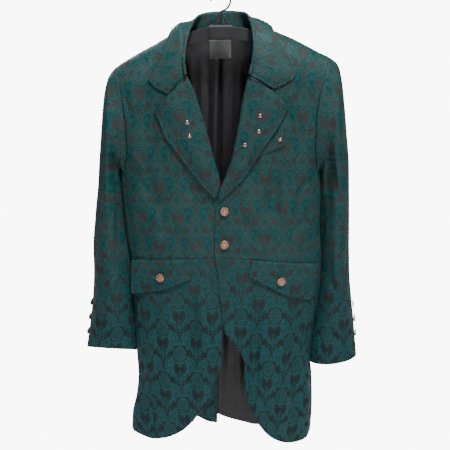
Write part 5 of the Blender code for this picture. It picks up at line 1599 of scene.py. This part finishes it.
# %% [markdown]
# ## The neck label
#
# A folded ribbon, sewn to the lining at its two short ends. It is left plain.

# %% Label
LABEL_WIDTH = 44 * MM
LABEL_HEIGHT = 37 * MM
LABEL_MIDDLE = -1 * MM
LABEL_TOP = -88 * MM
LABEL_BOW = 1.1 * MM
LABEL_LIFT = 0.9 * MM
LABEL_WALL = 0.7 * MM
u = np.linspace(0, 1, 24)
v = np.linspace(0, 1, 20)
x = LABEL_MIDDLE + LABEL_WIDTH * (u - 0.5)
z = LABEL_TOP - LABEL_HEIGHT * v
flat = pairs(x, z)
point, normal = frame_on(flat[..., 0], flat[..., 1], True)
bow = LABEL_BOW * (np.sin(math.pi * u)[None, :] ** 2) * (0.6 + 0.4 * np.sin(math.pi * v))[:, None]
depth = WALL + LINING_GAP + LINING_WALL + LABEL_LIFT + bow
points = point - normal * depth[..., None]
cloth = pairs(u * LABEL_WIDTH, -v * LABEL_HEIGHT)
made = shell("Neck_label", points, cloth, LABEL_WALL, (0, 1, 0), (label_weave,))
finish_cloth(made, ["label"])

# %% [markdown]
# ## Buttons and rivets
#
# A button is turned: a profile spun round its axis. The engraving is a little relief added to the
# profile, and the depth of each point is kept in an attribute, which the copper's material reads to
# darken what is sunk. Boolean cuts would give the same look with far more faces.

# %% Buttons and rivets
def profile_height(radius, keys):
    """Height of a turned profile at shares of its radius, in millimetres."""
    share, height = np.array(keys, float).T
    return np.interp(radius, share, height)


def button_relief(radius, turn):
    """Engraving of a coat button: a cogged rim, a beaded ring and a compass flower."""
    cogs = 0.22 * MM * np.clip(np.sin(turn * 24) * 3, -1, 1) * (radius > 0.86)
    beads = 0.18 * MM * np.clip(np.sin(turn * 16) * 2, -1, 1) * hump(radius, 0.62, 0.07)
    flower = 0.22 * MM * np.cos(turn * 8) * hump(radius, 0.32, 0.11)
    rings = -0.3 * MM * (hump(radius, 0.78, 0.035) + hump(radius, 0.47, 0.03))
    return cogs + beads + flower + rings


def rivet_relief(radius, turn):
    """A slightly hammered dome."""
    return 0.05 * MM * np.sin(turn * 3 + 1) * np.sin(radius * 6)


BUTTON_KEYS = [(0, 3.2), (0.2, 3.25), (0.55, 3.0), (0.72, 2.6), (0.8, 3.1), (0.9, 3.35), (0.97, 2.9),
               (1, 2.0)]
FOOT = (0.93, 0.3 * MM)
RIVET_KEYS = [(0, 2.1), (0.3, 2.02), (0.6, 1.6), (0.8, 1.0), (0.86, 0.62), (1, 0.5)]


def turned_piece(name, size, keys, relief, sides, rings, base, normal, spin):
    """A turned piece of a given radius on a base point, with its relief and the sunk attribute."""
    share = np.sin(np.linspace(0, 1, rings) * math.pi / 2)[1:]
    turn = 2 * math.pi * np.arange(sides) / sides
    radius, angle = np.meshgrid(share, turn, indexing="ij")
    cut = relief(radius, angle + spin)
    height = profile_height(radius, keys) * MM + cut
    foot_radius, foot_height = np.full((1, sides), FOOT[0]), np.full((1, sides), FOOT[1])
    up = unit(np.asarray(normal, float))
    first = unit(np.cross((0.0, 0.0, 1.0), up))
    second = np.cross(up, first)
    radii = np.concatenate([radius, foot_radius]) * size
    heights = np.concatenate([height, foot_height])
    angles = np.concatenate([angle, angle[:1]])[..., None]
    points = base + up * heights[..., None]
    points = points + (first * np.cos(angles) + second * np.sin(angles)) * radii[..., None]
    top = base + up * profile_height(0, keys) * MM
    every = np.concatenate([points.reshape(-1, 3), [top, base + up * FOOT[1]]])
    count = len(radii)
    faces = []
    for k in range(sides):
        j = (k + 1) % sides
        faces.append((len(every) - 2, k, j))
        faces.append((len(every) - 1, (count - 1) * sides + j, (count - 1) * sides + k))
        for r in range(count - 1):
            faces.append((r * sides + k, (r + 1) * sides + k, (r + 1) * sides + j, r * sides + j))
    made = add_mesh(name, every, faces, (copper,))
    depth = np.clip(-cut / (0.25 * MM), 0, 1)
    depth = np.concatenate([depth.reshape(-1), np.full(sides, 0.6), [0, 1]])
    made.data.attributes.new("sunk", "FLOAT", "POINT").data.foreach_set("value", depth.astype(np.float32))
    return made


def cuff_normal(side, z):
    """Direction that a sleeve faces beside its outer edge at a height."""
    rows = SLEEVE[side]
    i = int(np.clip(np.searchsorted(-rows["outer_z"], -z) - 1, 0, len(rows["outer_z"]) - 2))
    upper = ring_points(rows, i)
    across = upper[4 * SIGN[side]] - upper[0]
    normal = unit(np.cross(across, ring_points(rows, i + 1)[0] - upper[0]))
    return normal if normal[0] * SIGN[side] > 0 else -normal


COAT_BUTTON = (9.5 * MM, BUTTON_KEYS, button_relief, 96, 30, 3.4 * MM)
CUFF_BUTTON = (7.5 * MM, BUTTON_KEYS, button_relief, 96, 26, 3.4 * MM)
RIVET = (4.0 * MM, RIVET_KEYS, rivet_relief, 40, 14, 2.0 * MM)
SPINS = {"button_front_1": 0.1, "button_front_2": 0.8, "button_flap_right": 0.4, "button_flap_left": 1.2}
RIVETS = ("rivet_lapel_right_1", "rivet_lapel_right_2", "rivet_lapel_left_1", "rivet_lapel_left_2",
          "rivet_lapel_left_3", "rivet_welt")


def fasten(node, name, shape, spin, normal=None):
    """Sets a turned piece in the place of its CAD node, facing out from the cloth there."""
    size, keys, relief, sides, rings, height = shape
    low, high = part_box(node)
    centre = (np.array(low) + np.array(high)) / 2
    if normal is None:
        normal = frame_on(centre[:1], centre[2:])[1][0]
    base = centre - normal * height / 2
    made = turned_piece(name, size, keys, relief, sides, rings, base, normal, spin)
    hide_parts(node)
    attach(made, "root")


for node, spin in SPINS.items():
    fasten(node, node.capitalize(), COAT_BUTTON, spin)
for side in SIGN:
    for i, z in enumerate(CUFF_BUTTON_Z, start=1):
        facing = cuff_normal(side, z * MM)
        fasten(f"button_cuff_{side}_{i}", f"Cuff_button_{side}_{i}", CUFF_BUTTON, i * 0.7, facing)
for node in RIVETS:
    fasten(node, node.capitalize(), RIVET, 0.0)
print("buttons and rivets:", len(SPINS) + len(SIGN) * len(CUFF_BUTTON_Z) + len(RIVETS))

# %% [markdown]
# ## Rows of stitches
#
# Topstitching is the same small thing many times over, which is what Geometry Nodes are for. The tool
# takes a line, spreads points along it at the stitch spacing, and sets a short capsule of thread on
# each. Its inputs have names, so each row can have its own stitch. At the end the stitches are made
# real and keep the thread's material.
#
# The links are a table: a node and its output, then the node and the input that it feeds.

# %% The stitching tool
STITCH = {"Spacing": 3.2 * MM, "Stitch length": 2.3 * MM, "Thread radius": 0.2 * MM, "Unevenness": 0.07}
STITCH_LIFT = 0.1 * MM


def stitching_tool(finish):
    """Geometry Nodes tool: a line of points to a row of stitches."""
    tree = bpy.data.node_groups.new("Row of stitches", "GeometryNodeTree")
    tree.interface.new_socket("Line", in_out="INPUT", socket_type="NodeSocketGeometry")
    for name, value in STITCH.items():
        socket = tree.interface.new_socket(name, in_out="INPUT", socket_type="NodeSocketFloat")
        socket.default_value = value
    tree.interface.new_socket("Seed", in_out="INPUT", socket_type="NodeSocketInt")
    tree.interface.new_socket("Stitches", in_out="OUTPUT", socket_type="NodeSocketGeometry")
    kinds = {
        "enter": "NodeGroupInput", "leave": "NodeGroupOutput", "curve": "GeometryNodeMeshToCurve",
        "spread": "GeometryNodeCurveToPoints", "ball": "GeometryNodeMeshUVSphere",
        "stretch": "GeometryNodeTransform", "place": "GeometryNodeInstanceOnPoints",
        "chance": "FunctionNodeRandomValue", "turn": "GeometryNodeRotateInstances",
        "real": "GeometryNodeRealizeInstances", "paint": "GeometryNodeSetMaterial",
        "smooth": "GeometryNodeSetShadeSmooth", "size": "ShaderNodeCombineXYZ", "half": "ShaderNodeMath",
        "low": "ShaderNodeCombineXYZ", "high": "ShaderNodeCombineXYZ", "minus": "ShaderNodeMath",
    }
    nodes = {}
    for i, (name, kind) in enumerate(kinds.items()):
        nodes[name] = tree.nodes.new(kind)
        nodes[name].location = (210 * (i % 8), -260 * (i // 8))
    nodes["spread"].mode = "LENGTH"
    for name, value in (("Segments", 6), ("Rings", 4), ("Radius", 1.0)):
        nodes["ball"].inputs[name].default_value = value
    nodes["chance"].data_type = "FLOAT_VECTOR"
    for name, factor in (("half", 0.5), ("minus", -1)):
        nodes[name].operation = "MULTIPLY"
        nodes[name].inputs[1].default_value = factor
    nodes["paint"].inputs["Material"].default_value = finish
    joins = [
        ("enter", "Line", "curve", 0), ("curve", 0, "spread", "Curve"),
        ("enter", "Spacing", "spread", "Length"), ("enter", "Stitch length", "half", 0),
        ("enter", "Thread radius", "size", 0), ("enter", "Thread radius", "size", 1),
        ("half", 0, "size", 2), ("ball", "Mesh", "stretch", "Geometry"), ("size", 0, "stretch", "Scale"),
        ("spread", "Points", "place", "Points"), ("stretch", 0, "place", "Instance"),
        ("spread", "Rotation", "place", "Rotation"), ("enter", "Unevenness", "high", 0),
        ("enter", "Unevenness", "high", 1), ("enter", "Unevenness", "minus", 0),
        ("minus", 0, "low", 0), ("minus", 0, "low", 1), ("low", 0, "chance", 0), ("high", 0, "chance", 1),
        ("enter", "Seed", "chance", "Seed"), ("place", 0, "turn", "Instances"),
        ("chance", 0, "turn", "Rotation"), ("turn", 0, "smooth", 0), ("smooth", 0, "real", 0),
        ("real", 0, "paint", "Geometry"), ("paint", 0, "leave", 0),
    ]
    for source, output, target, entry in joins:
        tree.links.new(nodes[source].outputs[output], nodes[target].inputs[entry])
    return tree


def run_tool(tree, source, values):
    """Runs a tool on an object and returns its result as a plain mesh."""
    modifier = source.modifiers.new("Tool", "NODES")
    modifier.node_group = tree
    for item in tree.interface.items_tree:
        if item.in_out == "INPUT" and item.name in values:
            modifier[item.identifier] = values[item.name]
    bpy.context.view_layer.update()
    ready = source.evaluated_get(bpy.context.evaluated_depsgraph_get())
    mesh = bpy.data.meshes.new_from_object(ready)
    source.modifiers.remove(modifier)
    return mesh


STITCHER = stitching_tool(thread)


def line_of(piece, border):
    """A line of points beside a piece's border, standing just off the cloth."""
    points = PIECES[piece]["points"] + PIECES[piece]["normals"] * STITCH_LIFT
    if border in ("inner", "outer"):
        points = points.transpose(1, 0, 2)
    row = STITCH_COLUMN if border in ("inner", "top") else -1 - STITCH_COLUMN
    return points[row, STITCH_COLUMN:-STITCH_COLUMN]


def stitch_rows(name, rows, seed):
    """One object with several rows of stitches; returns its number of faces."""
    points = np.concatenate(rows)
    edges = []
    start = 0
    for row in rows:
        edges += [(start + i, start + i + 1) for i in range(len(row) - 1)]
        start += len(row)
    mesh = bpy.data.meshes.new(name)
    mesh.from_pydata([tuple(p) for p in points], edges, [])
    source = new_object(name, mesh)
    source.data = run_tool(STITCHER, source, {**STITCH, "Seed": seed})
    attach(source, "root")
    return len(source.data.polygons)


# %% Topstitching
ROWS = {
    "Collar_stitching": [("Collar", "inner"), ("Collar", "top"), ("Collar", "bottom")],
    "Lapel_right_stitching": [("Lapel_right", "outer"), ("Lapel_right", "top")],
    "Lapel_left_stitching": [("Lapel_left", "outer"), ("Lapel_left", "top")],
    "Flap_right_stitching": [("Pocket_flap_right", b) for b in ("inner", "outer", "bottom")],
    "Flap_left_stitching": [("Pocket_flap_left", b) for b in ("inner", "outer", "bottom")],
    "Welt_stitching": [("Breast_welt", "top"), ("Breast_welt", "outer")],
    "Front_edge_stitching": [("Skirt_front_right", "inner"), ("Skirt_front_left", "inner"),
                             ("Skirt_front_right", "bottom"), ("Skirt_front_left", "bottom")],
}
for seed, (name, rows) in enumerate(ROWS.items(), start=3):
    count = stitch_rows(name, [line_of(*row) for row in rows], seed)
    print(name, "faces:", count)

# %% [markdown]
# ## The hanger
#
# The hanger's CAD pieces have their real shape already, so they stay and only get their finish.

# %% Hanger
HANGER = {
    "hanger_arms": plastic, "hanger_block": plastic,
    "hanger_hook": steel, "hanger_strut_right": steel, "hanger_strut_left": steel,
}
for name, finish in HANGER.items():
    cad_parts[name].data.materials.clear()
    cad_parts[name].data.materials.append(finish)
print("CAD pieces kept:", sorted(name for name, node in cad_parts.items() if not node.hide_render))

# %% [markdown]
# ## Floor, light and camera
#
# The floor and the world are pale paper: the camera sees them white, while they light the cloth only
# a little, so its folds keep their depth. A bright soft light stands in front and to the right, above
# the jacket, as a window would. A weak wide one opens the shadows from low in front, and a third one
# lights the back, which the camera at the photo's angle doesn't see.
#
# The camera stands at the height of the shoulders and looks down by 16.5 degrees, which was worked out
# from the photograph's perspective.

# %% Stage
def area_light(name, place, size, power, target):
    """A soft square light that looks at a target."""
    data = bpy.data.lights.new(name, "AREA")
    data.size = size
    data.energy = power
    made = new_object(name, data)
    made.location = place
    made.rotation_euler = (Vector(target) - Vector(place)).to_track_quat("-Z", "Y").to_euler()
    return made


def white_to_camera(tree, lit, strength):
    """Mixes a shader with a plain white glow that only the camera sees."""
    glow = tree.nodes.new("ShaderNodeEmission" if lit.node.type != "BACKGROUND" else "ShaderNodeBackground")
    glow.inputs["Strength"].default_value = strength
    glow.inputs["Color"].default_value = (1, 1, 1, 1)
    path = tree.nodes.new("ShaderNodeLightPath")
    mix = tree.nodes.new("ShaderNodeMixShader")
    tree.links.new(path.outputs["Is Camera Ray"], mix.inputs[0])
    tree.links.new(lit, mix.inputs[1])
    tree.links.new(glow.outputs[0], mix.inputs[2])
    return mix.outputs[0]


FLOOR_HALF = 30.0
FLOOR_Z = -1.5
PAPER_WHITE = 9.0
ROOM_GLOW = 0.12
corners = [(x * FLOOR_HALF, y * FLOOR_HALF, FLOOR_Z) for x, y in [(-1, -1), (1, -1), (1, 1), (-1, 1)]]
floor_mesh = bpy.data.meshes.new("Floor")
floor_mesh.from_pydata(corners, [], [(0, 1, 2, 3)])
floor = new_object("Floor", floor_mesh)
paper, tree, shader = new_material("Pale paper", (0.8, 0.8, 0.8), 0.9)
surface = tree.nodes["Material Output"].inputs["Surface"]
tree.links.new(white_to_camera(tree, shader.outputs[0], PAPER_WHITE), surface)
floor_mesh.materials.append(paper)
world = bpy.data.worlds.new("Pale room")
bpy.context.scene.world = world
world.use_nodes = True
tree = world.node_tree
room = tree.nodes["Background"]
room.inputs["Color"].default_value = (0.9, 0.95, 1.0, 1)
room.inputs["Strength"].default_value = ROOM_GLOW
surface = tree.nodes["World Output"].inputs["Surface"]
tree.links.new(white_to_camera(tree, room.outputs[0], PAPER_WHITE), surface)
key = area_light("Window light", (0.35, -1.25, 2.5), 0.45, 152, (0.02, 0, -0.45))
fill = area_light("Fill light", (0.5, -2.3, -0.9), 1.2, 11, (0, 0, -0.6))
behind = area_light("Light behind", (-1.2, 2.4, 1.2), 1.6, 60, (0, 0, -0.5))

# %% Camera
CAMERA_PLACE = (0.0085, -1.205, -0.111)
CAMERA_TILT = 73.5
camera_data = bpy.data.cameras.new("Photo camera")
camera_data.lens = 46.9
camera_data.sensor_width = 36
camera = new_object("Photo camera", camera_data)
camera.location = CAMERA_PLACE
camera.rotation_euler = (math.radians(CAMERA_TILT), 0, 0)
bpy.context.scene.camera = camera
print("camera:", CAMERA_PLACE, "lens:", camera_data.lens)

# %% [markdown]
# ## Measures
#
# The cut of every sheet is printed.

# %% Measure and finish
for row in SHEETS:
    print("sheet:", *row)
